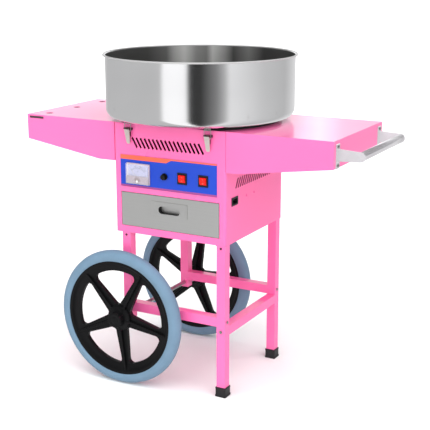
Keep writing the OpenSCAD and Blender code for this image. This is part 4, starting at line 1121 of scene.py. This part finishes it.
class CART_OT_voltmeter(bpy.types.Operator):
    """Build the voltmeter: dial with its scale, needle, lower mask and clear cover"""

    bl_idname = "cart.voltmeter"
    bl_label = "Voltmeter"

    def execute(self, context):
        tint = context.scene.cart_panel.case_tint
        shell_finish = finished("Meter case", lambda n: moulded_plastic(n, tint, 0.35))
        dress("meter_case", shell_finish, 0.3 * MM)
        card = finished("Matt card", matt_card)
        dress("meter_dial", card, 0.15 * MM)
        dark_ink = finished("Dial ink", lambda n: ink(n, (0.03, 0.03, 0.05)))
        pale_ink = finished("Needle paint", lambda n: ink(n, (0.36, 0.34, 0.42)))
        dress("meter_needle", pale_ink, 0.1 * MM)
        pivot = Vector((middle("meter_case").x, 0, low("meter_case").z + 16.5 * MM))
        place = at(pivot.x, low("meter_dial").y, pivot.z) @ FACING_FRONT
        sweep = math.radians(45)
        marks = []
        film, bold, fine = 0.12 * MM, 0.9 * MM, 0.45 * MM
        arc_r = 26.5 * MM
        path = [math.pi / 2 + sweep - 2 * sweep * i / 40 for i in range(41)]
        ends = [(arc_r * math.cos(a), arc_r * math.sin(a)) for a in path]
        for pair in zip(ends, ends[1:]):
            marks.append(stroke(pair, bold, 0.0, film))
        for i in range(31):
            a = math.pi / 2 + sweep - 2 * sweep * i / 30
            reach = 2.8 * MM if i % 10 == 0 else 2.2 * MM if i % 5 == 0 else 1.4 * MM
            c, s = math.cos(a), math.sin(a)
            pair = ((arc_r * c, arc_r * s), ((arc_r + reach) * c, (arc_r + reach) * s))
            marks.append(stroke(pair, bold if i % 5 == 0 else fine, 0.0, film))
        for i, text in enumerate(("0", "100", "200", "300")):
            a = math.pi / 2 + sweep - 2 * sweep * i / 3
            out = arc_r + 4.8 * MM
            x, y = out * math.cos(a), out * math.sin(a)
            marks += figures(text, x, y, 2.8 * MM, a - math.pi / 2, 0.0, film)
        foot, tall, half = 15.3 * MM, 4.6 * MM, 1.7 * MM
        for x in (-half, half):
            marks.append(stroke(((x, foot + tall), (0, foot)), bold, 0.0, film))
        fit("dial_scale", moved(joined(*marks), place), ROOT, dark_ink)
        hub = 9.4 * MM
        dome = [(0.4 * MM, 0.3 * MM), (6.6 * MM, 0.3 * MM), (7.0 * MM, 0.0)]
        dome += [(hub, 0.0), (hub, -1.0 * MM), (0.4 * MM, -1.0 * MM)]
        front = low("meter_case").y + 0.2 * MM
        boss = moved(turned(dome, 40), at(pivot.x, front, pivot.z - 4.5 * MM) @ FACING_FRONT)
        shade = finished("Boss moulding", lambda n: moulded_plastic(n, (0.20, 0.13, 0.14), 0.35))
        fit("mask_boss", boss, ROOT, shade, edge=0.2 * MM)
        spot = at(pivot.x, front - 0.1 * MM, pivot.z - 8.6 * MM) @ FACING_FRONT
        zero = moved(screw_head(3.4 * MM, 0.8 * MM), spot)
        white = finished("White moulding", lambda n: moulded_plastic(n, (0.82, 0.80, 0.78), 0.3))
        fit("zero_screw", zero, ROOT, white)
        low_corner, high_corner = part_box("meter_cover")
        centre = (low_corner + high_corner) / 2
        w, h = high_corner.x - low_corner.x, high_corner.z - low_corner.z
        deep = high_corner.y - low_corner.y
        loops = [
            (-deep / 2, rounded_box(w, h, 2.2 * MM, 5)),
            (deep / 2 - 2.0 * MM, rounded_box(w, h, 2.2 * MM, 5)),
            (deep / 2 - 0.6 * MM, rounded_box(w - 1.2 * MM, h - 1.2 * MM, 2.0 * MM, 5)),
            (deep / 2, rounded_box(w - 3.2 * MM, h - 3.2 * MM, 1.6 * MM, 5)),
            (deep / 2 - 1.5 * MM, rounded_box(w - 3.2 * MM, h - 3.2 * MM, 1.6 * MM, 5)),
            (-deep / 2, rounded_box(w - 3.0 * MM, h - 3.0 * MM, 1.6 * MM, 5)),
        ]
        cover = shell_of(loops)
        clear = finished("Clear moulding", clear_moulding)
        place = at(*centre) @ FACING_FRONT
        fit("clear_cover", moved(cover, place), ROOT, clear, ["meter_cover"])
        return {"FINISHED"}


def shell_of(outlines):
    """An open-backed moulding: outlines from its back edge over the front and back inside."""
    bm = bmesh.new()
    rows = [[bm.verts.new((x, y, z)) for x, y in loop] for z, loop in outlines]
    front = len(rows) // 2
    for i, (under, over) in enumerate(zip(rows, rows[1:])):
        if i == front:
            continue
        for j in range(len(under)):
            k = (j + 1) % len(under)
            bm.faces.new((under[j], under[k], over[k], over[j]))
    bm.faces.new(rows[front])
    bm.faces.new(rows[front + 1])
    first, last = rows[0], rows[-1]
    for j in range(len(first)):
        k = (j + 1) % len(first)
        bm.faces.new((first[j], first[k], last[k], last[j]))
    return bm


class CART_OT_switches(bpy.types.Operator):
    """Finish the two rockers and their bezels, with plain on and off marks"""

    bl_idname = "cart.switches"
    bl_label = "Rocker switches"

    def execute(self, context):
        red = context.scene.cart_panel.rocker_red
        gloss = finished("Rocker red", lambda n: moulded_plastic(n, red, 0.22, 200.0))
        dress("switch_bezels", black_plastic(), 0.5 * MM)
        tilt, lean = math.radians(8), math.radians(8)
        film, away = 0.15 * MM, 5.2 * MM
        for side in ("left", "right"):
            dress(f"{side}_rocker", gloss, 0.5 * MM, 3)
            lowest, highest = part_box(f"{side}_rocker")
            x = (lowest.x + highest.x) / 2
            z = middle("switch_bezels").z
            pivot_y = low("control_panel").y + 1.0 * MM
            pale = finished("Mark ink", lambda n: ink(n, (0.95, 0.12, 0.08)))
            face = Matrix.Rotation(tilt, 4, "X")
            marks = []
            line = stroke(((0, -2 * MM), (0, 2 * MM)), 0.8 * MM, 0.0, film)
            circle = cut_sheet(ring(2.2 * MM, 24), [ring(1.5 * MM, 24)], 0.0, film)
            for mark, up in ((line, 1), (circle, -1)):
                out = 6.0 * MM - away * math.tan(lean)
                spot = at(0, -out, up * away) @ Matrix.Rotation(-up * lean, 4, "X")
                marks.append(moved(mark, spot @ FACING_FRONT))
            placed = moved(joined(*marks), at(x, pivot_y, z) @ face)
            fit(f"{side}_rocker_marks", placed, f"{side}_rocker_body", pale)
        return {"FINISHED"}


def ribbed_round(radius, depth):
    """Outline of a round knob with grip ribs."""
    ribs, points_each = 24, 6
    steps = ribs * points_each
    points = []
    for i in range(steps):
        out = radius - depth * (0.5 + 0.5 * math.cos(WHOLE_TURN * i / points_each))
        turn = WHOLE_TURN * i / steps
        points.append((out * math.cos(turn), out * math.sin(turn)))
    return points


class CART_OT_fuse(bpy.types.Operator):
    """Mould the ribbed fuse cap and finish its holder and fuse"""

    bl_idname = "cart.fuse"
    bl_label = "Fuse holder"

    def execute(self, context):
        dress("fuse_holder", black_plastic(), 0.3 * MM)
        glass = finished("Fuse glass", lambda n: moulded_plastic(n, (0.62, 0.68, 0.66), 0.1))
        dress("fuse_link", glass, 0.2 * MM)
        lowest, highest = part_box("fuse_cap")
        centre = middle("fuse_cap")
        radius = (highest.x - lowest.x) / 2
        tall = 9 * MM
        rows = [
            (0.0, ribbed_round(radius, 0.2 * MM)),
            (0.8 * MM, ribbed_round(radius, 0.7 * MM)),
            (7.4 * MM, ribbed_round(radius * 0.95, 0.7 * MM)),
            (8.4 * MM, ribbed_round(radius * 0.88, 0.2 * MM)),
            (tall, ribbed_round(radius * 0.76, 0.0)),
            (tall, ribbed_round(radius * 0.60, 0.0)),
            (8.6 * MM, ribbed_round(radius * 0.56, 0.0)),
        ]
        place = at(centre.x, lowest.y + tall, centre.z) @ FACING_FRONT
        knob = moved(stacked(rows), place)
        blade = [(8.5 * MM, rounded_box(7.6 * MM, 1.6 * MM, 0.3 * MM, 2))]
        blade.append((tall, rounded_box(7.6 * MM, 1.2 * MM, 0.3 * MM, 2)))
        bar = moved(stacked(blade), place)
        bore, skirt, deep = 2.7 * MM, 4.1 * MM, -14 * MM
        stem = moved(turned([(bore, 0), (skirt, 0), (skirt, deep), (bore, deep)], 32), place)
        cap = joined(knob, bar, stem)
        gloss = finished(
            "Glossy black plastic", lambda n: moulded_plastic(n, (0.005, 0.005, 0.006), 0.14)
        )
        fit("fuse_knob", cap, "fuse_cap_body", gloss, ["fuse_cap"])
        return {"FINISHED"}


class CART_OT_inlet(bpy.types.Operator):
    """Finish the black moulding of the mains inlet"""

    bl_idname = "cart.inlet"
    bl_label = "Mains inlet"

    def execute(self, context):
        dress("power_inlet", black_plastic(), 0.4 * MM)
        return {"FINISHED"}


class CART_OT_drawer(bpy.types.Operator):
    """Finish the drawer's steel, and paint shade with a black lining on the lower left of its
    pull's recess
    """

    bl_idname = "cart.drawer"
    bl_label = "Drawer"

    def execute(self, context):
        dress("drawer_front", drawer_steel(), 0.4 * MM)
        pull_steel = finished(
            "Pull steel", lambda n: brushed_metal(n, (0.90, 0.90, 0.88), 0.5, (6, 500, 700), 0.03)
        )
        dress("drawer_pull", pull_steel, 0.3 * MM)
        dress("drawer_tray", plain_steel(), 0.3 * MM)
        dress("drawer_runners", galvanised(), 0.3 * MM)
        pull = middle("drawer_pull")
        front = low("drawer_pull").y
        recess = pull.z - 3 * MM
        half, r = 22.5 * MM, 10 * MM
        # Painted shade: a black strip round the lower left of the recess, where its walls lie in
        # shade
        outer = bend(-half, 0, r - 0.01 * MM, 110, 270, 14) + bend(half, 0, r, 270, 300, 4)
        inner = bend(-half, 0, r - 0.5 * MM, 110, 270, 14)
        inner += bend(half, 0, r - 0.5 * MM, 270, 300, 4)
        recess_shade = cut_sheet(outer + inner[::-1], [], -12.4 * MM, -0.2 * MM)
        place = at(pull.x, front, recess) @ FACING_FRONT
        fit("pull_recess_shade", moved(recess_shade, place), "drawer", black_plastic())
        return {"FINISHED"}


class CART_OT_latches(bpy.types.Operator):
    """Finish the two latches with their levers, and bend their wire bails"""

    bl_idname = "cart.latches"
    bl_label = "Latches"

    def execute(self, context):
        base = finished(
            "Latch base", lambda n: brushed_metal(n, (0.16, 0.12, 0.12), 0.4, (300, 300, 20))
        )
        blade = finished(
            "Latch steel",
            lambda n: brushed_metal(n, (0.66, 0.60, 0.56), 0.34, (500, 500, 30), metallic=0.55),
        )
        dress("latch_bases", base, 0.3 * MM)
        for side in ("left", "right"):
            dress(f"{side}_latch_lever", blade, 0.5 * MM, 3)
            lowest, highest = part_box(f"{side}_latch_bail")
            centre = (lowest + highest) / 2
            top_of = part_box(f"{side}_latch_lever")
            roll_r, half_roll = 2.2 * MM, 8.2 * MM
            profile = [(0.3 * MM, -half_roll), (roll_r - 0.4 * MM, -half_roll)]
            profile += [(roll_r, -half_roll + 0.4 * MM), (roll_r, half_roll - 0.4 * MM)]
            profile += [(roll_r - 0.4 * MM, half_roll), (0.3 * MM, half_roll)]
            roll = moved(turned(profile, 24), Matrix.Rotation(math.radians(90), 4, "Y"))
            spot = (centre.x, top_of[0].y + 1.2 * MM, top_of[1].z - 1.2 * MM)
            fit(f"{side}_lever_roll", moved(roll, at(*spot)), f"{side}_lever", base)
            r = 1.0 * MM
            half = (highest.x - lowest.x) / 2 - r
            up, down = highest.z - r, lowest.z + r
            corner = 2.6 * MM
            loop = bend(half - corner, up - corner, corner, 0, 90, 6)
            loop += bend(-half + corner, up - corner, corner, 90, 180, 6)
            loop += bend(-half + corner, down + corner, corner, 180, 270, 6)
            loop += bend(half - corner, down + corner, corner, 270, 360, 6)
            path = [(centre.x + x, centre.y, z) for x, z in loop + loop[:1]]
            bail = swept(path, r, 12)
            name, body, node = f"{side}_bail_wire", f"{side}_bail", f"{side}_latch_bail"
            fit(name, bail, body, plain_steel(), [node])
        return {"FINISHED"}


class CART_OT_handle(bpy.types.Operator):
    """Plate the push handle and its brackets"""

    bl_idname = "cart.handle"
    bl_label = "Handle"

    def execute(self, context):
        dress("handle_brackets", chrome(), 0.8 * MM, 3)
        dress("handle_tube", chrome(), 0.3 * MM)
        for node in ("handle_brackets", "handle_tube"):
            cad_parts[node].visible_glossy = False
        return {"FINISHED"}


def window_outline(settings):
    """One opening between two spokes, about the middle of the gap."""
    half_step = math.pi / SPOKES
    spoke, root = 23 * MM, 35 * MM
    outer, inner = settings.fillet, 10.5 * MM
    out_r = 133 * MM - outer
    spread = half_step - math.asin((spoke / 2 + outer) / out_r)
    root_r = (root / 2 + inner) / math.sin(half_step)
    points = ring(inner, 64, root_r, 0)
    for i in range(-12, 13):
        a = spread * i / 12
        points += ring(outer, 64, out_r * math.cos(a), out_r * math.sin(a))
    return outline_round(points)


def spoked_wheel(settings, angle):
    """A moulded wheel about its own axis, with its outer face towards +Z."""
    rim, inside, shoulder = 160 * MM, 132 * MM, 138 * MM
    half_web = 6 * MM
    windows = []
    step = 360 / SPOKES
    for i in range(SPOKES):
        turn = math.radians(angle + step / 2 + step * i)
        c, s = math.cos(turn), math.sin(turn)
        windows.append([(x * c - y * s, x * s + y * c) for x, y in window_outline(settings)])
    web = cut_sheet(ring(shoulder, 120), windows, -half_web, half_web)
    side = [(rim, 14.4), (rim - 0.6 * MM, 15.0), (rim - 7 * MM, 15.0), (rim - 8.2 * MM, 14.2)]
    side += [(rim - 11 * MM, 11.6), (rim - 19 * MM, 8.6), (rim - 25 * MM, 6.9), (inside, 5.8)]
    profile = [(r, h * MM) for r, h in side]
    profile += [(r, -h) for r, h in reversed(profile)]
    rim_ring = turned(profile, 120)
    hub = [(6, -18.5), (19.5, -18.5), (21, -17), (21, -15), (25, -13), (33, -12), (35, -10.5)]
    hub += [(35, 10.5), (33, 12), (25, 13), (21.6, 15.5), (21, 18.5), (21, 29.7), (20.2, 30.5)]
    hub += [(16.0, 30.5), (16.0, 16.5), (6, 16.5)]
    parts = [web, rim_ring, turned([(r * MM, h * MM) for r, h in hub], 64)]
    tall = half_web + settings.rib
    inner, outer, half, thin = 20 * MM, rim - 9 * MM, 3 * MM, 2.4 * MM
    outline = [(inner, -half), (outer, -thin), (outer, thin), (inner, half)]
    for i in range(SPOKES):
        rib = cut_sheet(outline, [], -tall, tall)
        parts.append(moved(rib, Matrix.Rotation(math.radians(angle + step * i), 4, "Z")))
    return joined(*parts)


class CART_OT_wheels(bpy.types.Operator):
    """Mould the spoked wheels, their solid tyres and hub caps"""

    bl_idname = "cart.wheels"
    bl_label = "Wheels and tyres"

    def execute(self, context):
        settings = context.scene.cart_wheels
        rubber = finished("Tyre rubber", lambda n: solid_rubber(n, settings.tyre, 0.55))
        for side, facing, angle in (("front", FACING_FRONT, -83), ("rear", FACING_REAR, 79.5)):
            body = f"{side}_wheel_body"
            centre = middle(f"{side}_tyre")
            place = at(*centre) @ facing
            wheel = moved(spoked_wheel(settings, angle), place)
            fit(
                f"{side}_spokes",
                wheel,
                body,
                wheel_plastic(),
                [f"{side}_wheel"],
                1.8 * MM,
            )
            section, heart, seat_r, seat_half = 18.5, 169.5, 160.0, 14.0
            groove, groove_from, groove_to = 0.45, 92, 98
            seat = math.degrees(math.acos((seat_r - heart) / section))
            profile = []
            for x, y in bend(heart, 0, section, -seat, seat, 40):
                turn = abs(math.degrees(math.atan2(y, x - heart)))
                dip = groove if groove_from < turn < groove_to else 0.0
                profile.append(((x - dip * 0.2) * MM, (y - math.copysign(dip, y)) * MM))
            profile += [(seat_r * MM, seat_half * MM), (seat_r * MM, -seat_half * MM)]
            tyre = moved(turned(profile, 160), place)
            fit(f"{side}_solid_tyre", tyre, body, rubber, [f"{side}_tyre"])
            outer_end = 30.5 * MM
            cap = [(0.3, 3.0), (9, 3.0), (10, 2.4), (13, 2.4), (14, 3.0), (19.4, 3.0), (20.6, 2.2)]
            cap += [(21, 1.0), (21, 0.0), (15.8, 0.0), (15.8, -3.6), (14, -3.6)]
            cap += [(14, 0.6), (0.3, 0.6)]
            profile = [(r * MM, outer_end + h * MM) for r, h in cap]
            knob = moved(turned(profile, 64), place)
            fit(f"{side}_cap", knob, body, wheel_plastic(), [f"{side}_hub_cap"])
        dress("axle", galvanised(), 0.4 * MM)
        dress("axle_spacers", galvanised(), 0.5 * MM)
        return {"FINISHED"}


def screw_head(radius, height):
    """A dished screw head with a crossed recess, on the plane of its seat."""
    arm, reach, deep = radius * 0.17, radius * 0.58, height * 0.55
    flat = 0.72
    cross = [(reach, -arm), (reach, arm), (arm, arm), (arm, reach), (-arm, reach), (-arm, arm)]
    cross += [(-reach, arm), (-reach, -arm), (-arm, -arm), (-arm, -reach), (arm, -reach)]
    cross += [(arm, -arm)]
    turn = bpy.context.scene.cart_metal.screw_turn
    c, s = math.cos(turn), math.sin(turn)
    cross = [(x * c - y * s, x * s + y * c) for x, y in cross]
    top = cut_sheet(ring(radius * flat, 24), [cross], height - deep, height)
    bottom = cut_sheet(ring(radius * flat, 24), [], 0.0, height - deep)
    side = [(flat, 0.0), (1.0, 0.0), (0.96, 0.55), (0.84, 0.88), (flat, 1.0)]
    edge = turned([(radius * r, height * h) for r, h in side], 24)
    return joined(top, bottom, edge)


def hex_head(radius, height):
    """A six-sided bolt head on its washer, on the plane of its seat."""
    seat = height * 0.3
    washer = turned([(0.4 * MM, 0), (radius, 0), (radius, seat), (0.4 * MM, seat)], 32)
    rows = ((seat, 0.88), (height * 0.88, 0.88), (height, 0.8))
    return joined(washer, stacked([(z, ring(radius * share_of, 6)) for z, share_of in rows]))


def out_of(lowest, highest, centre):
    """Where a fastener's seat is, and the turn that points it away from the cart."""
    size = highest - lowest
    spot = (lowest + highest) / 2
    pairs = [(abs(size.y - size.z), 0), (abs(size.x - size.z), 1), (abs(size.x - size.y), 2)]
    axis = min(pairs)[1]
    sign = 1 if spot[axis] > centre[axis] else -1
    end = highest[axis] if sign > 0 else lowest[axis]
    spot[axis] = end
    out = Vector((0, 0, 0))
    out[axis] = sign
    return spot, out, max(size[(axis + 1) % 3], size[(axis + 2) % 3]) / 2, size[axis]


class CART_OT_fasteners(bpy.types.Operator):
    """Make the screws and bolts with their drive recesses and shanks"""

    bl_idname = "cart.fasteners"
    bl_label = "Screws and bolts"

    def execute(self, context):
        centre = (middle("cabinet_front") + middle("cabinet_rear")) / 2
        dark = finished(
            "Dark screw", lambda n: brushed_metal(n, (0.20, 0.10, 0.14), 0.4, (200, 200, 200))
        )
        near = (middle("cabinet_rear").y - centre.y) / 2
        screws = solids_of("cabinet_screws")
        at_side = [box for box in screws if abs((box[0] + box[1]).y / 2 - centre.y) < near]
        at_legs = [box for box in screws if box not in at_side]
        bolts = solids_of("frame_bolts")
        groups = (
            (at_legs, screw_head, 1.8 * MM, 1.7 * MM, dark, "leg_screws", ["cabinet_screws"]),
            (at_side, screw_head, 1.8 * MM, 1.7 * MM, pink(), "side_screws", []),
            (bolts, hex_head, 2.4 * MM, 2.5 * MM, galvanised(), "bolts", ["frame_bolts"]),
        )
        for boxes, head, height, shank, material, name, nodes in groups:
            parts = []
            for lowest, highest in boxes:
                spot, out, radius, long = out_of(lowest, highest, centre)
                seat = spot - out * height
                turn = out.to_track_quat("Z", "Y").to_matrix().to_4x4()
                parts.append(moved(head(radius, height), Matrix.Translation(seat) @ turn))
                rod = [(0.3 * MM, 0.2 * MM), (shank, 0.2 * MM), (shank, height - long + 0.6 * MM)]
                rod += [(shank - 0.6 * MM, height - long), (0.3 * MM, height - long)]
                parts.append(moved(turned(rod, 20), Matrix.Translation(seat) @ turn))
            fit(name, joined(*parts), ROOT, material, nodes)
        return {"FINISHED"}


# Studio


CAMERA_PLACE = (1.28015, -2.3438, 1.1393)
CAMERA_DOWN, CAMERA_ROUND = 14.50, 28.48
FLOOR_REACH = 60.0
LAMP_AIM = Vector((0.0, 0.0, 0.5))
# Heights of direction, as the sine of the angle above the horizon, where the room's light changes
EYE_FADE = (0.0, 0.1)
WALL_FADE = (0.32, 0.42)
CEILING_FADE = (0.72, 0.88)

# Light of the room by its direction from the front in degrees: below eye height and above it
LOWER_ROOM = (
    (-180.0, 0.70),
    (-163.0, 0.80),
    (-120.0, 0.50),
    (-19.0, 0.52),
    (-15.0, 1.05),
    (12.0, 1.05),
    (16.0, 0.03),
    (30.0, 0.04),
    (48.0, 0.22),
    (58.0, 0.45),
    (64.0, 0.80),
    (90.0, 0.68),
    (110.0, 0.58),
    (150.0, 0.50),
    (178.0, 0.70),
)
UPPER_ROOM = (
    (-180.0, 0.40),
    (-163.0, 0.85),
    (-158.8, 1.20),
    (-158.0, 4.00),
    (-157.2, 1.30),
    (-153.0, 1.20),
    (-141.0, 1.30),
    (-132.0, 0.50),
    (-120.0, 0.12),
    (150.0, 0.12),
    (178.0, 0.40),
)


def band_walls(tree, turn, bands):
    """A ramp of the room's light by direction."""
    walls = tree.nodes.new("ShaderNodeValToRGB")
    fill_ramp(walls, bands, 1.01)
    tree.links.new(turn, walls.inputs["Fac"])
    return walls.outputs["Color"]


def blend_by_height(tree, height, between, below, above):
    """Fades from one light to another between two heights of direction."""
    fade = tree.nodes.new("ShaderNodeMapRange")
    fade.inputs["From Min"].default_value = between[0]
    fade.inputs["From Max"].default_value = between[1]
    mix = tree.nodes.new("ShaderNodeMix")
    mix.data_type = "RGBA"
    colours = {s.name: s for s in mix.inputs if s.type == "RGBA"}
    tree.links.new(height, fade.inputs["Value"])
    tree.links.new(fade.outputs["Result"], mix.inputs[0])
    tree.links.new(below, colours["A"])
    if isinstance(above, tuple):
        colours["B"].default_value = above
    else:
        tree.links.new(above, colours["B"])
    return next(s for s in mix.outputs if s.type == "RGBA")


def studio_room(brightness):
    """A soft room that metal mirrors as broad panels, with plain white paper behind the cart."""
    world = bpy.data.worlds.new("Studio room")
    world.use_nodes = True
    tree = world.node_tree
    tree.nodes.clear()
    place = tree.nodes.new("ShaderNodeTexCoord")
    parts = tree.nodes.new("ShaderNodeSeparateXYZ")
    away = tree.nodes.new("ShaderNodeMath")
    away.operation = "MULTIPLY"
    away.inputs[1].default_value = -1.0
    angle = tree.nodes.new("ShaderNodeMath")
    angle.operation = "ARCTAN2"
    turn = tree.nodes.new("ShaderNodeMapRange")
    turn.inputs["From Min"].default_value = -math.pi
    turn.inputs["From Max"].default_value = math.pi
    glow = tree.nodes.new("ShaderNodeBackground")
    glow.inputs["Strength"].default_value = brightness
    paper = tree.nodes.new("ShaderNodeBackground")
    paper.inputs["Color"].default_value = (1.0, 1.0, 1.0, 1.0)
    paper.inputs["Strength"].default_value = 2.0
    ray = tree.nodes.new("ShaderNodeLightPath")
    view = tree.nodes.new("ShaderNodeMixShader")
    out = tree.nodes.new("ShaderNodeOutputWorld")
    link = tree.links.new
    link(place.outputs["Generated"], parts.inputs["Vector"])
    link(parts.outputs["Y"], away.inputs[0])
    link(parts.outputs["X"], angle.inputs[0])
    link(away.outputs["Value"], angle.inputs[1])
    link(angle.outputs["Value"], turn.inputs["Value"])
    lower = band_walls(tree, turn.outputs["Result"], LOWER_ROOM)
    upper = band_walls(tree, turn.outputs["Result"], UPPER_ROOM)
    walls = blend_by_height(tree, parts.outputs["Z"], EYE_FADE, lower, upper)
    dark, pale = (0.12, 0.12, 0.12, 1.0), (0.75, 0.75, 0.75, 1.0)
    shaded = blend_by_height(tree, parts.outputs["Z"], WALL_FADE, walls, dark)
    room = blend_by_height(tree, parts.outputs["Z"], CEILING_FADE, shaded, pale)
    link(room, glow.inputs["Color"])
    link(ray.outputs["Is Camera Ray"], view.inputs[0])
    link(glow.outputs["Background"], view.inputs[1])
    link(paper.outputs["Background"], view.inputs[2])
    link(view.outputs["Shader"], out.inputs["Surface"])
    return world


def sky(name, place, strength, spread):
    """A soft light from one side, its spread in degrees, left out of mirror images."""
    data = bpy.data.lights.new(name, "SUN")
    data.energy = strength
    data.angle = math.radians(spread)
    light = bpy.data.objects.new(name, data)
    bpy.context.scene.collection.objects.link(light)
    light.location = place
    light.rotation_mode = "QUATERNION"
    light.rotation_quaternion = (LAMP_AIM - Vector(place)).to_track_quat("-Z", "Y")
    light.visible_glossy = False


class CART_OT_stage(bpy.types.Operator):
    """Lay the pale floor, light the room softly and set the camera"""

    bl_idname = "cart.stage"
    bl_label = "Studio and camera"

    def execute(self, context):
        settings = context.scene.cart_stage
        context.scene.world = studio_room(settings.brightness)
        context.scene.view_settings.view_transform = "Standard"
        bm = bmesh.new()
        bmesh.ops.create_grid(bm, x_segments=8, y_segments=8, size=FLOOR_REACH)
        floor = bpy.data.objects.new("studio_floor", mesh_of("studio_floor", bm))
        context.scene.collection.objects.link(floor)
        material, shader = finish("Floor paper", settings.floor, 0.85)
        speck = grain(material, stretched(material), 3.0, 2.0)
        shade_by(material, shader, speck, *tones(settings.floor, 0.006))
        floor.data.materials.append(material)
        floor.visible_glossy = False
        sky("Overhead sky", (0.9, -2.3, 3.6), 4.2, 110)
        sky("Side sky", (3.0, -0.6, 2.0), 1.0, 90)
        data = bpy.data.cameras.new("Camera")
        data.lens = settings.lens
        data.sensor_width = 36.0
        camera = bpy.data.objects.new("Camera", data)
        context.scene.collection.objects.link(camera)
        camera.location = CAMERA_PLACE
        camera.rotation_euler = (math.radians(90 - CAMERA_DOWN), 0.0, math.radians(CAMERA_ROUND))
        context.scene.camera = camera
        return {"FINISHED"}


OPERATORS = (
    CART_OT_cabinet,
    CART_OT_legs,
    CART_OT_bowl,
    CART_OT_spinner,
    CART_OT_works,
    CART_OT_panel,
    CART_OT_voltmeter,
    CART_OT_switches,
    CART_OT_fuse,
    CART_OT_inlet,
    CART_OT_drawer,
    CART_OT_latches,
    CART_OT_handle,
    CART_OT_wheels,
    CART_OT_fasteners,
    CART_OT_stage,
)


class CART_PT_sidebar(bpy.types.Panel):
    """Lists the cart's steps and settings"""

    bl_idname = "CART_PT_sidebar"
    bl_label = "Candy floss cart"
    bl_space_type = "VIEW_3D"
    bl_region_type = "UI"
    bl_category = "Cart"

    def draw(self, context):
        """Lists the steps, and below them the settings."""
        for operator in OPERATORS:
            self.layout.operator(operator.bl_idname, text=operator.bl_label)
        for name, group in SETTINGS.items():
            box = self.layout.box()
            settings = getattr(context.scene, name)
            for field in group.__annotations__:
                box.prop(settings, field)


CLASSES = (*SETTINGS.values(), *OPERATORS, CART_PT_sidebar)


def register():
    """Registers the classes and their settings."""
    for kind in CLASSES:
        bpy.utils.register_class(kind)
    for name, group in SETTINGS.items():
        setattr(bpy.types.Scene, name, PointerProperty(type=group))


def unregister():
    """Takes the settings and classes away again."""
    for name in SETTINGS:
        delattr(bpy.types.Scene, name)
    for kind in reversed(CLASSES):
        bpy.utils.unregister_class(kind)


def main():
    """Builds everything in order."""
    register()
    for operator in OPERATORS:
        group, name = operator.bl_idname.split(".")
        getattr(getattr(bpy.ops, group), name)()


if __name__ == "__main__":
    main()
